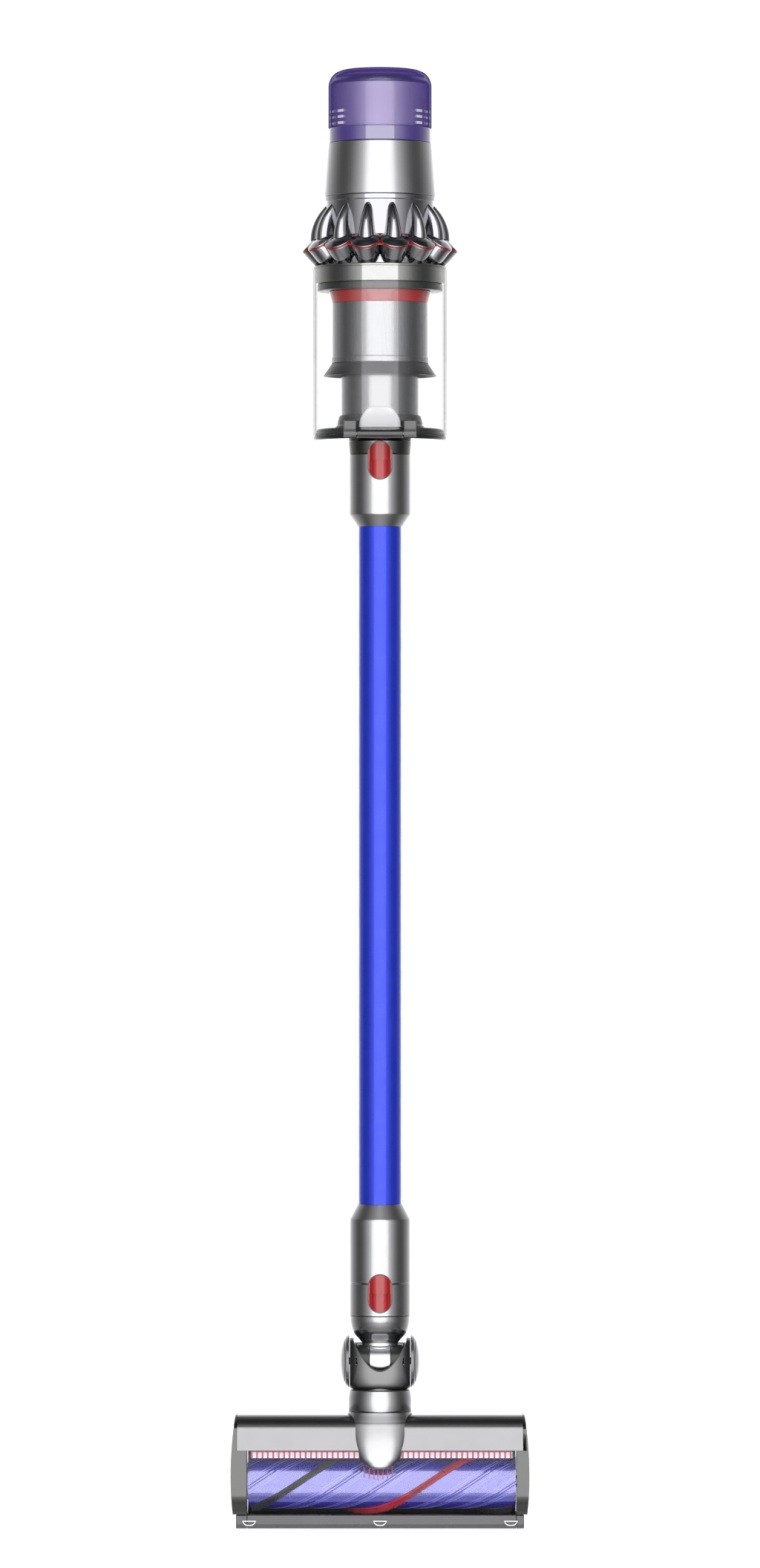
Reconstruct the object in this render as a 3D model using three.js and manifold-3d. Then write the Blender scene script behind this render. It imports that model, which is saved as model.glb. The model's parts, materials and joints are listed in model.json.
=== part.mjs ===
// Cordless stick vacuum cleaner, hanging straight as it does on its wall dock.
//
// Millimetres. +Z runs up the wand, -Y is the side that a user looks down on (the head's top), and
// +Y is the side of the handle and of the head's sole. The origin is on the wand's axis, on the flat
// lower face of the head's front bumper.

import * as THREE from "three";
import { mergeVertices } from "three/addons/utils/BufferGeometryUtils.js";
import Module from "manifold-3d";

const wasm = await Module();
wasm.setup();

// ---------------------------------------------------------------- driving dimensions

const GAP = 0.3; // clearance between pieces that touch
const BIG = 28; // sides of the machine's round pieces: two for each cyclone
const MEDIUM = 20; // sides of the wand's round pieces
const SMALL = 14; // sides of pins, shafts and rollers

// Heights along the wand, from the bumper up.
const BUMPER_TOP = 12;
const BRUSH_Z = 39.8;
const WINDOW_TOP = 68;
const HEAD_TOP = 97;
const SWIVEL_SEAM = 99.9;
const COLLAR_TOP = 118;
const PIVOT_Z = 142.2;
const NECK_TOP = 181.2;
const HEAD_SEAM = 209.2;
const WAND_BOTTOM = 276.6;
const WAND_TOP = 856.6;
const MACHINE_SEAM = 918.7;
const DOOR_BOTTOM = 929.8;
const BIN_BOTTOM = 934;
const BIN_TOP = 1077;
const CYCLONE_BOTTOM = 1079.5;
const HOUSING_BOTTOM = 1139.2;
const FILTER_BOTTOM = 1185;
const TOP = 1250;

// Cleaner head: its section is a tall box with a rounded front, in the YZ plane.
const HEAD_LEFT = -127.5;
const HEAD_RIGHT = 127.5;
const BRUSH_LEFT = -113.4;
const BRUSH_RIGHT = 116.4;
const HEAD_FRONT = -36;
const COVER_ROUND = 17.5; // radius of the cover's rounded top edge
const COVER_Y = -13.1;
const COVER_Z = 79.5;
const COVER_END = 2.786; // angle in radians at which the rounding meets the cover's sloping front
const COVER_HALF = 122; // the cover laps over the inner parts of both end housings
const SOLE = 21.5; // outer face of the soleplate
const SOLE_SHEET = 2;
const BRUSH_Y = -4.5;
const BRUSH_R = 23.5;
const BRISTLE_R = 28.4;
const WINDOW_R = 31.5;
const SHEET = 2; // wall of the head's covers

// Joint between head and wand.
const CUFF_R = 25.75;
const DUCT_R = 13.2;
const FORK_R = 20;
const FORK_HALF = 25.9;
const NOTCH_Z = 154.5; // centre of the round-bottomed notch in the fork's front
const KNUCKLE_R = 15.8;
const KNUCKLE_HALF = 20;
const STUB_R = 3;
const WHEEL_R = 23;
const SWIVEL_R = 27;

// Wand.
const TUBE_R = 18.25;
const TUBE_WALL = 1.45;
const UPPER_CUFF_R = 26.1;
const SPIGOT_R = 15.2;

// Release buttons: a capsule, seen from the front.
const BUTTON_HALF = 9.8;
const BUTTON_HEIGHT = 32;
const BUTTON_FLOOR = -17.2; // bottom of the pocket that a button sinks into
const BUTTON_BACK = -23.2;
const WAND_BUTTON_Z = 912.7;
const HEAD_BUTTON_Z = 201.3;

// Machine.
const BIN_R = 57.5;
const BIN_WALL = 1.5;
const HINGE_Y = -61;
const HINGE_R = 3.2;
const PIN_R = 1.3;
const CYCLONES = 14;
const CYCLONE_SIDES = 8;
const CYCLONE_R = 12.6; // rim of one cyclone
const CYCLONE_TILT = THREE.MathUtils.degToRad(34.7);
const CYCLONE_OUT = 55.4; // from the machine's axis to a rim's centre
const CYCLONE_RIM_Z = 1098.2;
const GASKET = 0.9;
const CAP_R = 44.2;
const HOUSING_R = 47.5;
const BATTERY_FRONT = 130;
const BATTERY_BACK = 178;

// ---------------------------------------------------------------- finishes

const FINISHES = {
  nickel: { color: 0x929298, roughness: 0.28, metalness: 0.9 },
  darkChrome: { color: 0x5c5c62, roughness: 0.14, metalness: 1 },
  silver: { color: 0xc9c9cc, roughness: 0.35, metalness: 0.8 },
  blue: { color: 0x3646e0, roughness: 0.3, metalness: 0.75 },
  purple: { color: 0x5a3fb0, roughness: 0.15, metalness: 0 },
  red: { color: 0xc01c28, roughness: 0.35, metalness: 0 },
  warmGrey: { color: 0x4b4944, roughness: 0.4, metalness: 0.2 },
  darkGrey: { color: 0x3a3a3e, roughness: 0.45, metalness: 0 },
  black: { color: 0x18181a, roughness: 0.6, metalness: 0 },
  rubber: { color: 0x222624, roughness: 0.8, metalness: 0 },
  steel: { color: 0xb8b8bc, roughness: 0.25, metalness: 1 },
  paper: { color: 0xe6e2f2, roughness: 0.9, metalness: 0 },
};

const CLEAR = { color: 0xe8eef2, roughness: 0.05, metalness: 0, transparent: true, opacity: 0.3 };

function piece(name, geometry, finish) {
  const mesh = new THREE.Mesh(geometry, new THREE.MeshStandardMaterial(FINISHES[finish] ?? CLEAR));
  mesh.name = name;
  return mesh;
}

// ---------------------------------------------------------------- shapes

function solidOf(geometry) {
  const bare = geometry.clone();
  bare.deleteAttribute("normal");
  bare.deleteAttribute("uv");
  const merged = mergeVertices(bare, 1e-4);
  const mesh = new wasm.Mesh({
    numProp: 3,
    vertProperties: new Float32Array(merged.attributes.position.array),
    triVerts: new Uint32Array(merged.index.array),
  });
  return new wasm.Manifold(mesh);
}

function geometryOf(solid) {
  const mesh = solid.getMesh();
  const geometry = new THREE.BufferGeometry();
  geometry.setAttribute("position", new THREE.BufferAttribute(mesh.vertProperties, 3));
  geometry.setIndex(new THREE.BufferAttribute(mesh.triVerts, 1));
  return geometry;
}

function join(first, ...others) {
  return geometryOf(others.reduce((whole, other) => whole.add(solidOf(other)), solidOf(first)));
}

function cut(body, ...tools) {
  return geometryOf(tools.reduce((rest, tool) => rest.subtract(solidOf(tool)), solidOf(body)));
}

function common(first, second) {
  return geometryOf(solidOf(first).intersect(solidOf(second)));
}

// A body turned about Z from [radius, height] points, anticlockwise. A profile that doesn't start on
// the axis closes on itself and leaves a bore.
function turned(profile, sides) {
  const points = profile.map(([r, z]) => new THREE.Vector2(r, z));
  if (profile[0][0] > 0) {
    points.push(points[0].clone());
  }
  return new THREE.LatheGeometry(points, sides).rotateX(Math.PI / 2);
}

function ring(inner, outer, bottom, top, sides) {
  return turned([[inner, bottom], [outer, bottom], [outer, top], [inner, top]], sides);
}

function rod(radius, bottom, top, sides) {
  return turned([[0, bottom], [radius, bottom], [radius, top], [0, top]], sides);
}

// The same turned about the X axis: heights run along X.
function alongX(geometry) {
  return geometry.rotateY(Math.PI / 2);
}

// The same turned about the Y axis: heights run along -Y.
function alongY(geometry) {
  return geometry.rotateX(Math.PI / 2);
}

function block(x0, x1, y0, y1, z0, z1) {
  const box = new THREE.BoxGeometry(x1 - x0, y1 - y0, z1 - z0);
  return box.translate((x0 + x1) / 2, (y0 + y1) / 2, (z0 + z1) / 2);
}

function extruded(shape, depth, bevel, curveSegments) {
  return new THREE.ExtrudeGeometry(shape, {
    depth: depth - 2 * bevel,
    bevelEnabled: bevel > 0,
    bevelSize: bevel,
    bevelOffset: -bevel,
    bevelThickness: bevel,
    bevelSegments: 1,
    curveSegments,
  }).translate(0, 0, bevel);
}

const X_AXIS = new THREE.Vector3(1, 0, 0);
const Y_AXIS = new THREE.Vector3(0, 1, 0);
const Z_AXIS = new THREE.Vector3(0, 0, 1);

// A [y, z] outline that runs along X.
function barX(shape, x0, x1, bevel = 0, curveSegments = 6) {
  const turn = new THREE.Matrix4().makeBasis(Y_AXIS, Z_AXIS, X_AXIS);
  return extruded(shape, x1 - x0, bevel, curveSegments).applyMatrix4(turn).translate(x0, 0, 0);
}

// An [x, z] outline that runs along Y.
function barY(shape, y0, y1, bevel = 0, curveSegments = 6) {
  const turn = new THREE.Matrix4().makeBasis(X_AXIS, Z_AXIS, Y_AXIS.clone().negate());
  return extruded(shape, y1 - y0, bevel, curveSegments).applyMatrix4(turn).translate(0, y1, 0);
}

function polygon(points) {
  return new THREE.Shape(points.map(([a, b]) => new THREE.Vector2(a, b)));
}

// A capsule standing up: the outline of the release buttons.
function capsule(halfWidth, height, centreZ) {
  const straight = height / 2 - halfWidth;
  const shape = new THREE.Shape();
  shape.absarc(0, centreZ + straight, halfWidth, 0, Math.PI);
  shape.absarc(0, centreZ - straight, halfWidth, Math.PI, 2 * Math.PI);
  return shape;
}

function roundedRectangle(x0, x1, z0, z1, r) {
  const shape = new THREE.Shape();
  shape.absarc(x1 - r, z1 - r, r, 0, Math.PI / 2);
  shape.absarc(x0 + r, z1 - r, r, Math.PI / 2, Math.PI);
  shape.absarc(x0 + r, z0 + r, r, Math.PI, 1.5 * Math.PI);
  shape.absarc(x1 - r, z0 + r, r, 1.5 * Math.PI, 2 * Math.PI);
  return shape;
}

function around(count, phase, make) {
  const step = (2 * Math.PI) / count;
  return Array.from({ length: count }, (_, i) => make().rotateZ((i + phase) * step - Math.PI / 2));
}

class Helix extends THREE.Curve {
  constructor(radius, length, turns) {
    super();
    Object.assign(this, { radius, length, turns });
  }

  getPoint(t) {
    const angle = 2 * Math.PI * this.turns * t;
    return new THREE.Vector3(
      this.radius * Math.cos(angle),
      -this.length * t,
      this.radius * Math.sin(angle),
    );
  }
}

// A coil that lies along Y, from its fixed end at y = 0 to its free end at y = -length.
function coil(radius, wire, length, turns) {
  const section = new THREE.Shape().absarc(0, 0, wire, 0, 2 * Math.PI);
  return new THREE.ExtrudeGeometry(section, {
    extrudePath: new Helix(radius, length, turns),
    steps: 6 * turns,
    curveSegments: 3,
    bevelEnabled: false,
  });
}

// ---------------------------------------------------------------- cleaner head

// The head's whole section without its bumper, grown outwards by `grow`.
function headSection(grow = 0) {
  const shape = new THREE.Shape();
  const low = Math.PI + 0.82;
  shape.moveTo(SOLE + grow, 4);
  shape.lineTo(SOLE + grow, 90);
  shape.lineTo(14, HEAD_TOP + grow);
  shape.absarc(COVER_Y, COVER_Z, COVER_ROUND + grow, Math.PI / 2, COVER_END);
  shape.lineTo(HEAD_FRONT - grow, WINDOW_TOP);
  shape.absarc(BRUSH_Y, BRUSH_Z, WINDOW_R + grow, Math.PI, low);
  shape.lineTo(-18, 0);
  shape.lineTo(17, 0);
  return shape;
}

// The cover's section between two surfaces, `out` outside and `into` inside its outer face.
function coverSection(out, into) {
  const shape = new THREE.Shape();
  shape.absarc(COVER_Y, COVER_Z, COVER_ROUND + out, Math.PI / 2, COVER_END);
  shape.lineTo(HEAD_FRONT - out, WINDOW_TOP);
  shape.lineTo(HEAD_FRONT + into, WINDOW_TOP);
  shape.absarc(COVER_Y, COVER_Z, COVER_ROUND - into, COVER_END, Math.PI / 2, true);
  shape.lineTo(15.2 - into, HEAD_TOP - into);
  shape.lineTo(19.4 - into, 92.8 - into);
  shape.lineTo(19.2 + out, 91.8);
  shape.lineTo(14 + out, HEAD_TOP + out);
  return shape;
}

function rearCover() {
  const shell = barX(coverSection(0, SHEET), -COVER_HALF, COVER_HALF, 0, 7).translate(0, 0, GAP);
  return cut(shell, rod(17.2, 90, 99, MEDIUM));
}

function windowShell() {
  const shape = new THREE.Shape();
  const end = Math.PI + 1.048;
  shape.absarc(BRUSH_Y, BRUSH_Z, WINDOW_R, Math.PI, end);
  shape.absarc(BRUSH_Y, BRUSH_Z, WINDOW_R - SHEET, end, Math.PI, true);
  shape.lineTo(HEAD_FRONT + SHEET, WINDOW_TOP);
  shape.lineTo(HEAD_FRONT, WINDOW_TOP);
  return barX(shape, BRUSH_LEFT, BRUSH_RIGHT, 0, 6);
}

function bumper() {
  const top = BUMPER_TOP - 0.1;
  const outline = [[-20.5, 4], [-17, 0], [15, 0], [19.2, 4], [19.2, 13], [12, 13], [7, 10.2], [-12, 10.2]];
  return barX(polygon([...outline, [-15, top], [-20.5, top]]), BRUSH_LEFT, BRUSH_RIGHT);
}

const ROLLER_X = 70;
const ROLLER_Z = 76;
const ROLLER_R = 5.4;
const ROLLER_HALF = 6;

// The soleplate: the mouth that the brush works through, and a pocket with two ears for each roller.
function soleplate() {
  const inner = SOLE - SOLE_SHEET;
  const sheet = block(BRUSH_LEFT, BRUSH_RIGHT, inner, SOLE, 4, 91.5);
  const frame = 2.4;
  const mouth = block(BRUSH_LEFT + frame, BRUSH_RIGHT - frame, inner - 1, SOLE + 1, 16, 62);
  const pockets = [-ROLLER_X, ROLLER_X].map((x) =>
    block(x - ROLLER_HALF - 1, x + ROLLER_HALF + 1, inner - 1, SOLE + 1, ROLLER_Z - 7, ROLLER_Z + 7),
  );
  const ears = [-ROLLER_X, ROLLER_X].flatMap((x) =>
    [-1, 1].map((side) => {
      const at = x + side * (ROLLER_HALF + 2);
      return block(at - 1.2, at + 1.2, 12, inner + 0.5, ROLLER_Z - 4, ROLLER_Z + 4);
    }),
  );
  const reach = ROLLER_X + ROLLER_HALF + 5;
  const axleHole = alongX(rod(1.6, -reach, reach, 8)).translate(0, rollerY(), ROLLER_Z);
  return cut(join(cut(sheet, mouth, ...pockets), ...ears), axleHole);
}

// A roller stands out of the soleplate by as much as the main wheels do.
function rollerY() {
  return WHEEL_R - ROLLER_R;
}

function roller(name, side) {
  const half = ROLLER_HALF;
  const profile = [[0, -9], [1.2, -9], [1.2, -half], [ROLLER_R, -half], [ROLLER_R, half], [1.2, half], [1.2, 9], [0, 9]];
  const mesh = piece(name, alongX(turned(profile, 12)), "darkGrey");
  mesh.position.set(side * ROLLER_X, rollerY(), ROLLER_Z);
  return mesh;
}

// Teeth that comb hair off the brush: one outline, cut into teeth along its lower edge.
function comb() {
  const pitch = 4.6;
  const tooth = 2.2;
  const points = [[112.5, 67.4], [-110.1, 67.4]];
  for (let x = -110.1; x < 112; x += pitch) {
    points.push([x, 61.5], [x + tooth, 61.5], [x + tooth, 65.6], [x + pitch, 65.6]);
  }
  points[points.length - 1] = [112.5, 65.6];
  return barY(polygon(points), -33.4, -31.2);
}

// The duct's nose on top of the cover. Its rings shift forwards as it comes down: each is half an oval in
// front of its widest place and half an oval behind it. The cover's section is cut out of its back.
function nose() {
  const top = SWIVEL_SEAM - GAP;
  const rings = [
    { radius: 0, z: 52, forwards: 38, front: 0, back: 0 },
    { radius: 10.5, z: 53.5, forwards: 33.5, front: 6.5, back: 10 },
    { radius: 16.5, z: 56.6, forwards: 33, front: 7.4, back: 12 },
    { radius: 20, z: 62, forwards: 33, front: 7, back: 14 },
    { radius: 23, z: 75, forwards: 32, front: 4.5, back: 20 },
    { radius: 24.6, z: 88, forwards: 27, front: 5.4, back: 38 },
    { radius: 25.6, z: 92, forwards: 22, front: 9, back: 34 },
    { radius: 26.7, z: 96.5, forwards: 12, front: 17.5, back: 26 },
    { radius: SWIVEL_R, z: top, forwards: 0, front: SWIVEL_R, back: SWIVEL_R },
    { radius: 0, z: top, forwards: 0, front: 0, back: 0 },
  ];
  const body = turned(rings.map(({ radius, z }) => [radius, z]), MEDIUM);
  const place = body.attributes.position;
  for (let i = 0; i < place.count; i += 1) {
    const { radius, forwards, front, back } = rings[i % rings.length];
    const y = place.getY(i);
    const share = radius > 0 ? y / radius : 0;
    place.setY(i, share * (y < 0 ? front : back) - forwards);
  }
  const head = barX(headSection(GAP), HEAD_LEFT, HEAD_RIGHT, 0, 7).translate(0, 0, GAP);
  return cut(body, head, rod(17, 80, 101, MEDIUM));
}

// An end housing: an outer plate of the head's whole section, and an inner part that the cover laps.
function endHousing(side, inner, ...tools) {
  const outer = side * HEAD_RIGHT;
  const step = side * (COVER_HALF + GAP);
  const plate = barX(headSection(), Math.min(outer, step), Math.max(outer, step), 2.4, 5);
  const overlap = side * (COVER_HALF + 3);
  const part = barX(headSection(), Math.min(inner, overlap), Math.max(inner, overlap), 0, 7);
  const reach = [inner - side, step].sort((a, b) => a - b);
  const lapped = barX(coverSection(3, SHEET + GAP), ...reach, 0, 7).translate(0, 0, GAP);
  const joined = join(plate, cut(part, lapped));
  return tools.length > 0 ? cut(joined, ...tools) : joined;
}

function brushTool(radius, x0, x1, sides) {
  return alongX(rod(radius, x0, x1, sides)).translate(0, BRUSH_Y, BRUSH_Z);
}

// The brush tube is open to the left, where the fixed motor stands in it. A web carries the drive.
function brushCore() {
  const inner = BRUSH_R - 3;
  const left = BRUSH_LEFT + 0.6;
  const right = BRUSH_RIGHT - 0.6;
  const profile = [
    [0, 110], [inner, 110], [inner, -10], [2.5, -10], [2.5, -15], [inner, -15], [inner, left],
    [BRUSH_R, left], [BRUSH_R, right], [5, right], [5, 121], [0, 121],
  ];
  return alongX(turned(profile, MEDIUM)).translate(0, BRUSH_Y, BRUSH_Z);
}

// One row of bristles, wound about once round the brush over its length. It climbs to the right on the
// side that faces the cover.
function bristleRow(startAngle) {
  const left = BRUSH_LEFT + 3;
  const right = BRUSH_RIGHT - 3;
  const inner = BRUSH_R + 2 * GAP;
  const height = BRISTLE_R - inner;
  const row = new THREE.BoxGeometry(right - left, 2.6, height, 24, 1, 1);
  row.translate((left + right) / 2, 0, inner + height / 2);
  const place = row.attributes.position;
  for (let i = 0; i < place.count; i += 1) {
    const angle = startAngle - (2 * Math.PI * (place.getX(i) - left)) / (right - left);
    const y = place.getY(i);
    const z = place.getZ(i);
    place.setY(i, y * Math.cos(angle) - z * Math.sin(angle));
    place.setZ(i, y * Math.sin(angle) + z * Math.cos(angle));
  }
  return row.translate(0, BRUSH_Y, BRUSH_Z);
}

function brushMotor() {
  const profile = [
    [0, BRUSH_LEFT + 0.1], [16, BRUSH_LEFT + 0.1], [16, -24], [8, -22], [8, -18], [2.1, -18], [2.1, -6], [0, -6],
  ];
  return alongX(turned(profile, SMALL)).translate(0, BRUSH_Y, BRUSH_Z);
}

// The coin-slotted cap that locks the brush in.
function brushLock() {
  const disc = brushTool(15.6, 122.9, HEAD_RIGHT, MEDIUM);
  const slot = block(126, 129, BRUSH_Y - 10, BRUSH_Y + 10, BRUSH_Z - 1.3, BRUSH_Z + 1.3);
  return cut(disc, slot);
}

function bearing() {
  const geometry = alongX(ring(5 + GAP, 9, 117.2, 121.4, SMALL));
  return geometry.translate(0, BRUSH_Y, BRUSH_Z);
}

function cleanerHead() {
  const head = new THREE.Group();
  const rightBores = [brushTool(9 + GAP, 116, 121.8, SMALL), brushTool(16, 122.5, 130, MEDIUM)];
  head.add(
    piece("head_nose", nose(), "nickel"),
    piece("head_rear_cover", rearCover(), "silver"),
    piece("head_window", windowShell(), "clear"),
    piece("end_housing_left", endHousing(-1, BRUSH_LEFT - GAP), "darkChrome"),
    piece("end_housing_right", endHousing(1, BRUSH_RIGHT + GAP, ...rightBores), "darkChrome"),
    piece("front_bumper", bumper(), "darkGrey"),
    piece("soleplate", soleplate(), "black"),
    piece("hair_comb", comb(), "red"),
    piece("brush_motor", brushMotor(), "steel"),
    piece("brush_bearing", bearing(), "steel"),
    piece("brush_core", brushCore(), "blue"),
    piece("brush_bristles", bristleRow(Math.PI * 1.87), "red"),
    piece("brush_carbon_row", bristleRow(Math.PI * 0.87), "black"),
    piece("brush_lock", brushLock(), "darkGrey"),
    roller("sole_roller_left", -1),
    roller("sole_roller_right", 1),
  );
  return head;
}

// ---------------------------------------------------------------- swivel, fork and neck

// The fork's cup is an oval bowl round the pivot, cut flat where the wheels sit and rounded at its top.
// Its front is open where the neck tips forward, and a tube below carries the air and turns in the
// head's nose.
function forkBody() {
  const foot = COLLAR_TOP + GAP;
  const profile = [[0, foot], [23.5, foot], [28, 121.5], [30.4, 127], [31, 134], [31, 165], [0, 165]];
  const bowl = turned(profile, 32).scale(1, FORK_R / 31, 1);
  const round = alongX(rod(FORK_R, -FORK_HALF, FORK_HALF, MEDIUM)).translate(0, 0, PIVOT_Z);
  const flats = join(round, block(-FORK_HALF, FORK_HALF, -FORK_R, FORK_R, foot - 1, PIVOT_Z));
  const tube = ring(14.7, 16.7, 88, 126, MEDIUM);
  const stubs = [-1, 1].map((side) => {
    const reach = [17.6, 33.4].map((x) => side * x).sort((a, b) => a - b);
    return alongX(rod(STUB_R, ...reach, SMALL)).translate(0, 0, PIVOT_Z);
  });
  const half = KNUCKLE_HALF + 0.5;
  const cavity = alongX(rod(KNUCKLE_R + 0.5, -half, half, MEDIUM)).translate(0, 0, PIVOT_Z);
  const notch = new THREE.Shape();
  notch.absarc(0, NOTCH_Z, half, Math.PI, 2 * Math.PI);
  notch.lineTo(half, 180);
  notch.lineTo(-half, 180);
  const opening = barY(notch, -40, 13.4, 0, 8);
  const bore = rod(14.7, 87, 132, MEDIUM);
  return join(cut(join(common(bowl, flats), tube), cavity, opening, bore), ...stubs);
}

function swivelCollar() {
  const bottom = SWIVEL_SEAM + 0.1;
  const profile = [[17, bottom], [SWIVEL_R, bottom], [SWIVEL_R, 112], [FORK_HALF, COLLAR_TOP], [17, COLLAR_TOP]];
  return turned(profile, MEDIUM);
}

// The neck runs from the cuff's round section through an oval stem to the knuckle in the fork's cup.
function neckKnuckle() {
  const top = NECK_TOP;
  const crown = turned([[0, 163], [19.8, 163], [24.5, 167], [CUFF_R, 174], [CUFF_R, top], [0, top]], MEDIUM);
  const stem = turned([[0, PIVOT_Z], [16.6, PIVOT_Z], [16.6, 152], [17.4, 159.5], [19.8, 163], [0, 164]], MEDIUM);
  stem.scale(1, 0.66, 1);
  const knuckle = alongX(rod(KNUCKLE_R, -KNUCKLE_HALF, KNUCKLE_HALF, MEDIUM)).translate(0, 0, PIVOT_Z);
  const duct = turned([[0, 120], [9, 120], [9, 160], [DUCT_R, 172], [DUCT_R, 190], [0, 190]], SMALL);
  const sockets = alongX(rod(STUB_R + 0.4, -30, 30, SMALL)).translate(0, 0, PIVOT_Z);
  const inside = alongX(rod(20, -17, 17, SMALL)).translate(0, 0, PIVOT_Z);
  return cut(join(crown, stem, knuckle), duct, cut(sockets, inside));
}

function wheel(name, side) {
  const profile = [
    [STUB_R + 0.4, 26.3], [WHEEL_R - 0.6, 26.3], [WHEEL_R, 27], [21.6, 28.9], [18.6, 30.9], [14, 32.7], [8, 33.9],
    [STUB_R + 0.4, 34.3],
  ];
  const geometry = alongX(turned(profile, MEDIUM));
  const mesh = piece(name, side > 0 ? geometry : geometry.rotateZ(Math.PI), "darkChrome");
  mesh.position.z = PIVOT_Z;
  return mesh;
}

function headCuff() {
  const bottom = NECK_TOP + GAP;
  const profile = [
    [DUCT_R, bottom], [CUFF_R, bottom], [CUFF_R, HEAD_SEAM], [SPIGOT_R, HEAD_SEAM], [SPIGOT_R, 233], [DUCT_R, 233],
  ];
  return cut(turned(profile, MEDIUM), buttonPocket(HEAD_BUTTON_Z));
}

function neckAndFork() {
  const joint = new THREE.Group();
  joint.add(
    piece("head_cuff", headCuff(), "nickel"),
    piece("neck_knuckle", neckKnuckle(), "nickel"),
    piece("fork_body", forkBody(), "nickel"),
    piece("swivel_collar", swivelCollar(), "nickel"),
    wheel("wheel_left", -1),
    wheel("wheel_right", 1),
    button("head_button", HEAD_BUTTON_Z),
    buttonSpring("head_button_spring", HEAD_BUTTON_Z),
  );
  return joint;
}

// ---------------------------------------------------------------- wand

function buttonPocket(centreZ) {
  return barY(capsule(BUTTON_HALF + GAP, BUTTON_HEIGHT + 2 * GAP, centreZ), -40, BUTTON_FLOOR, 0, 4);
}

function button(name, centreZ) {
  const mesh = piece(name, barY(capsule(BUTTON_HALF, BUTTON_HEIGHT, 0), -27.6, BUTTON_BACK, 0.8, 4), "red");
  mesh.position.z = centreZ;
  return mesh;
}

function buttonSpring(name, centreZ) {
  const mesh = piece(name, coil(3, 0.5, BUTTON_FLOOR - BUTTON_BACK - 1.6, 3), "steel");
  mesh.position.set(0, BUTTON_FLOOR - 0.8, centreZ - 4);
  return mesh;
}

function wandCuff() {
  const top = MACHINE_SEAM - GAP;
  const seat = TUBE_R + GAP;
  const profile = [
    [seat, WAND_TOP], [seat + 0.4, WAND_TOP], [UPPER_CUFF_R, 867], [UPPER_CUFF_R, top], [SPIGOT_R, top],
    [SPIGOT_R, 933], [DUCT_R, 933], [DUCT_R, 893.3], [seat, 893.3],
  ];
  return cut(turned(profile, MEDIUM), buttonPocket(WAND_BUTTON_Z));
}

function wandCollar() {
  const bottom = HEAD_SEAM + GAP;
  const seat = TUBE_R + GAP;
  const bore = SPIGOT_R + GAP;
  const profile = [
    [bore, bottom], [CUFF_R, bottom], [CUFF_R, 263.7], [seat + 0.4, WAND_BOTTOM], [seat, WAND_BOTTOM],
    [seat, 234.7], [bore, 234.7],
  ];
  return cut(turned(profile, MEDIUM), buttonPocket(HEAD_BUTTON_Z));
}

function wand() {
  const group = new THREE.Group();
  const wireDuct = barX(roundedRectangle(11.8, 15.6, -4, 4, 1.8), 236, 892, 0, 3);
  group.add(
    piece("wand_tube", ring(TUBE_R - TUBE_WALL, TUBE_R, 235, 893, MEDIUM), "blue"),
    piece("wand_cuff", wandCuff(), "nickel"),
    piece("wand_collar", wandCollar(), "nickel"),
    piece("wand_wire_duct", wireDuct.rotateY(-Math.PI / 2), "black"),
    button("wand_button", WAND_BUTTON_Z),
    buttonSpring("wand_button_spring", WAND_BUTTON_Z),
  );
  return group;
}

// ---------------------------------------------------------------- bin and its door

function hingeKnuckle(x0, x1, inner, bottom, top) {
  const barrel = alongX(rod(HINGE_R, x0, x1, SMALL)).translate(0, HINGE_Y, BIN_BOTTOM);
  return join(barrel, block(x0, x1, HINGE_Y, inner, bottom, top));
}

function pinHole() {
  return alongX(rod(PIN_R + 0.4, -40, 40, 10)).translate(0, HINGE_Y, BIN_BOTTOM);
}

function binShell() {
  const wall = ring(BIN_R - BIN_WALL, BIN_R, BIN_BOTTOM, BIN_TOP, BIG);
  const inside = rod(BIN_R - BIN_WALL, BIN_BOTTOM - 5, BIN_TOP, BIG);
  const knuckles = [[-31, -20.3], [20.3, 31]].map(([x0, x1]) =>
    cut(hingeKnuckle(x0, x1, -46, BIN_BOTTOM, 945), inside),
  );
  return cut(join(wall, ...knuckles), pinHole());
}

function binDoor() {
  const plate = ring(18.4, BIN_R, DOOR_BOTTOM, BIN_BOTTOM - GAP, BIG);
  const clearance = [[-31.3, -20], [20, 31.3]].map(([x0, x1]) =>
    alongX(rod(HINGE_R + 0.5, x0, x1, SMALL)).translate(0, HINGE_Y, BIN_BOTTOM),
  );
  const knuckle = hingeKnuckle(-19.7, 19.7, -54, DOOR_BOTTOM, BIN_BOTTOM - GAP);
  const shellClearance = ring(BIN_R - 3, BIN_R + GAP, BIN_BOTTOM - 0.2, 960, BIG);
  return cut(join(plate, knuckle), pinHole(), shellClearance, ...clearance);
}

// The nozzle that takes the wand. It stands through the door and ends level with its upper face.
function inletNozzle() {
  const bore = SPIGOT_R + GAP;
  const profile = [
    [bore, MACHINE_SEAM], [26.1, MACHINE_SEAM], [26.9, DOOR_BOTTOM - GAP], [18, DOOR_BOTTOM - GAP], [18, BIN_BOTTOM],
    [bore, BIN_BOTTOM],
  ];
  return cut(turned(profile, MEDIUM), buttonPocket(WAND_BUTTON_Z));
}

// The clear duct over the nozzle throws the dirt out sideways through its open flanks.
function inletDuct() {
  const bottom = BIN_BOTTOM + GAP;
  const profile = [
    [0, 952.6], [9, 951], [14.6, 945.5], [14.6, bottom], [16.5, bottom], [16.5, 947], [11, 953.5], [2, 955],
    [0.5, 972], [0, 972],
  ];
  const flanks = block(-20, 20, -8, 8, 937, 945);
  return cut(turned(profile, 20), flanks);
}

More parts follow.
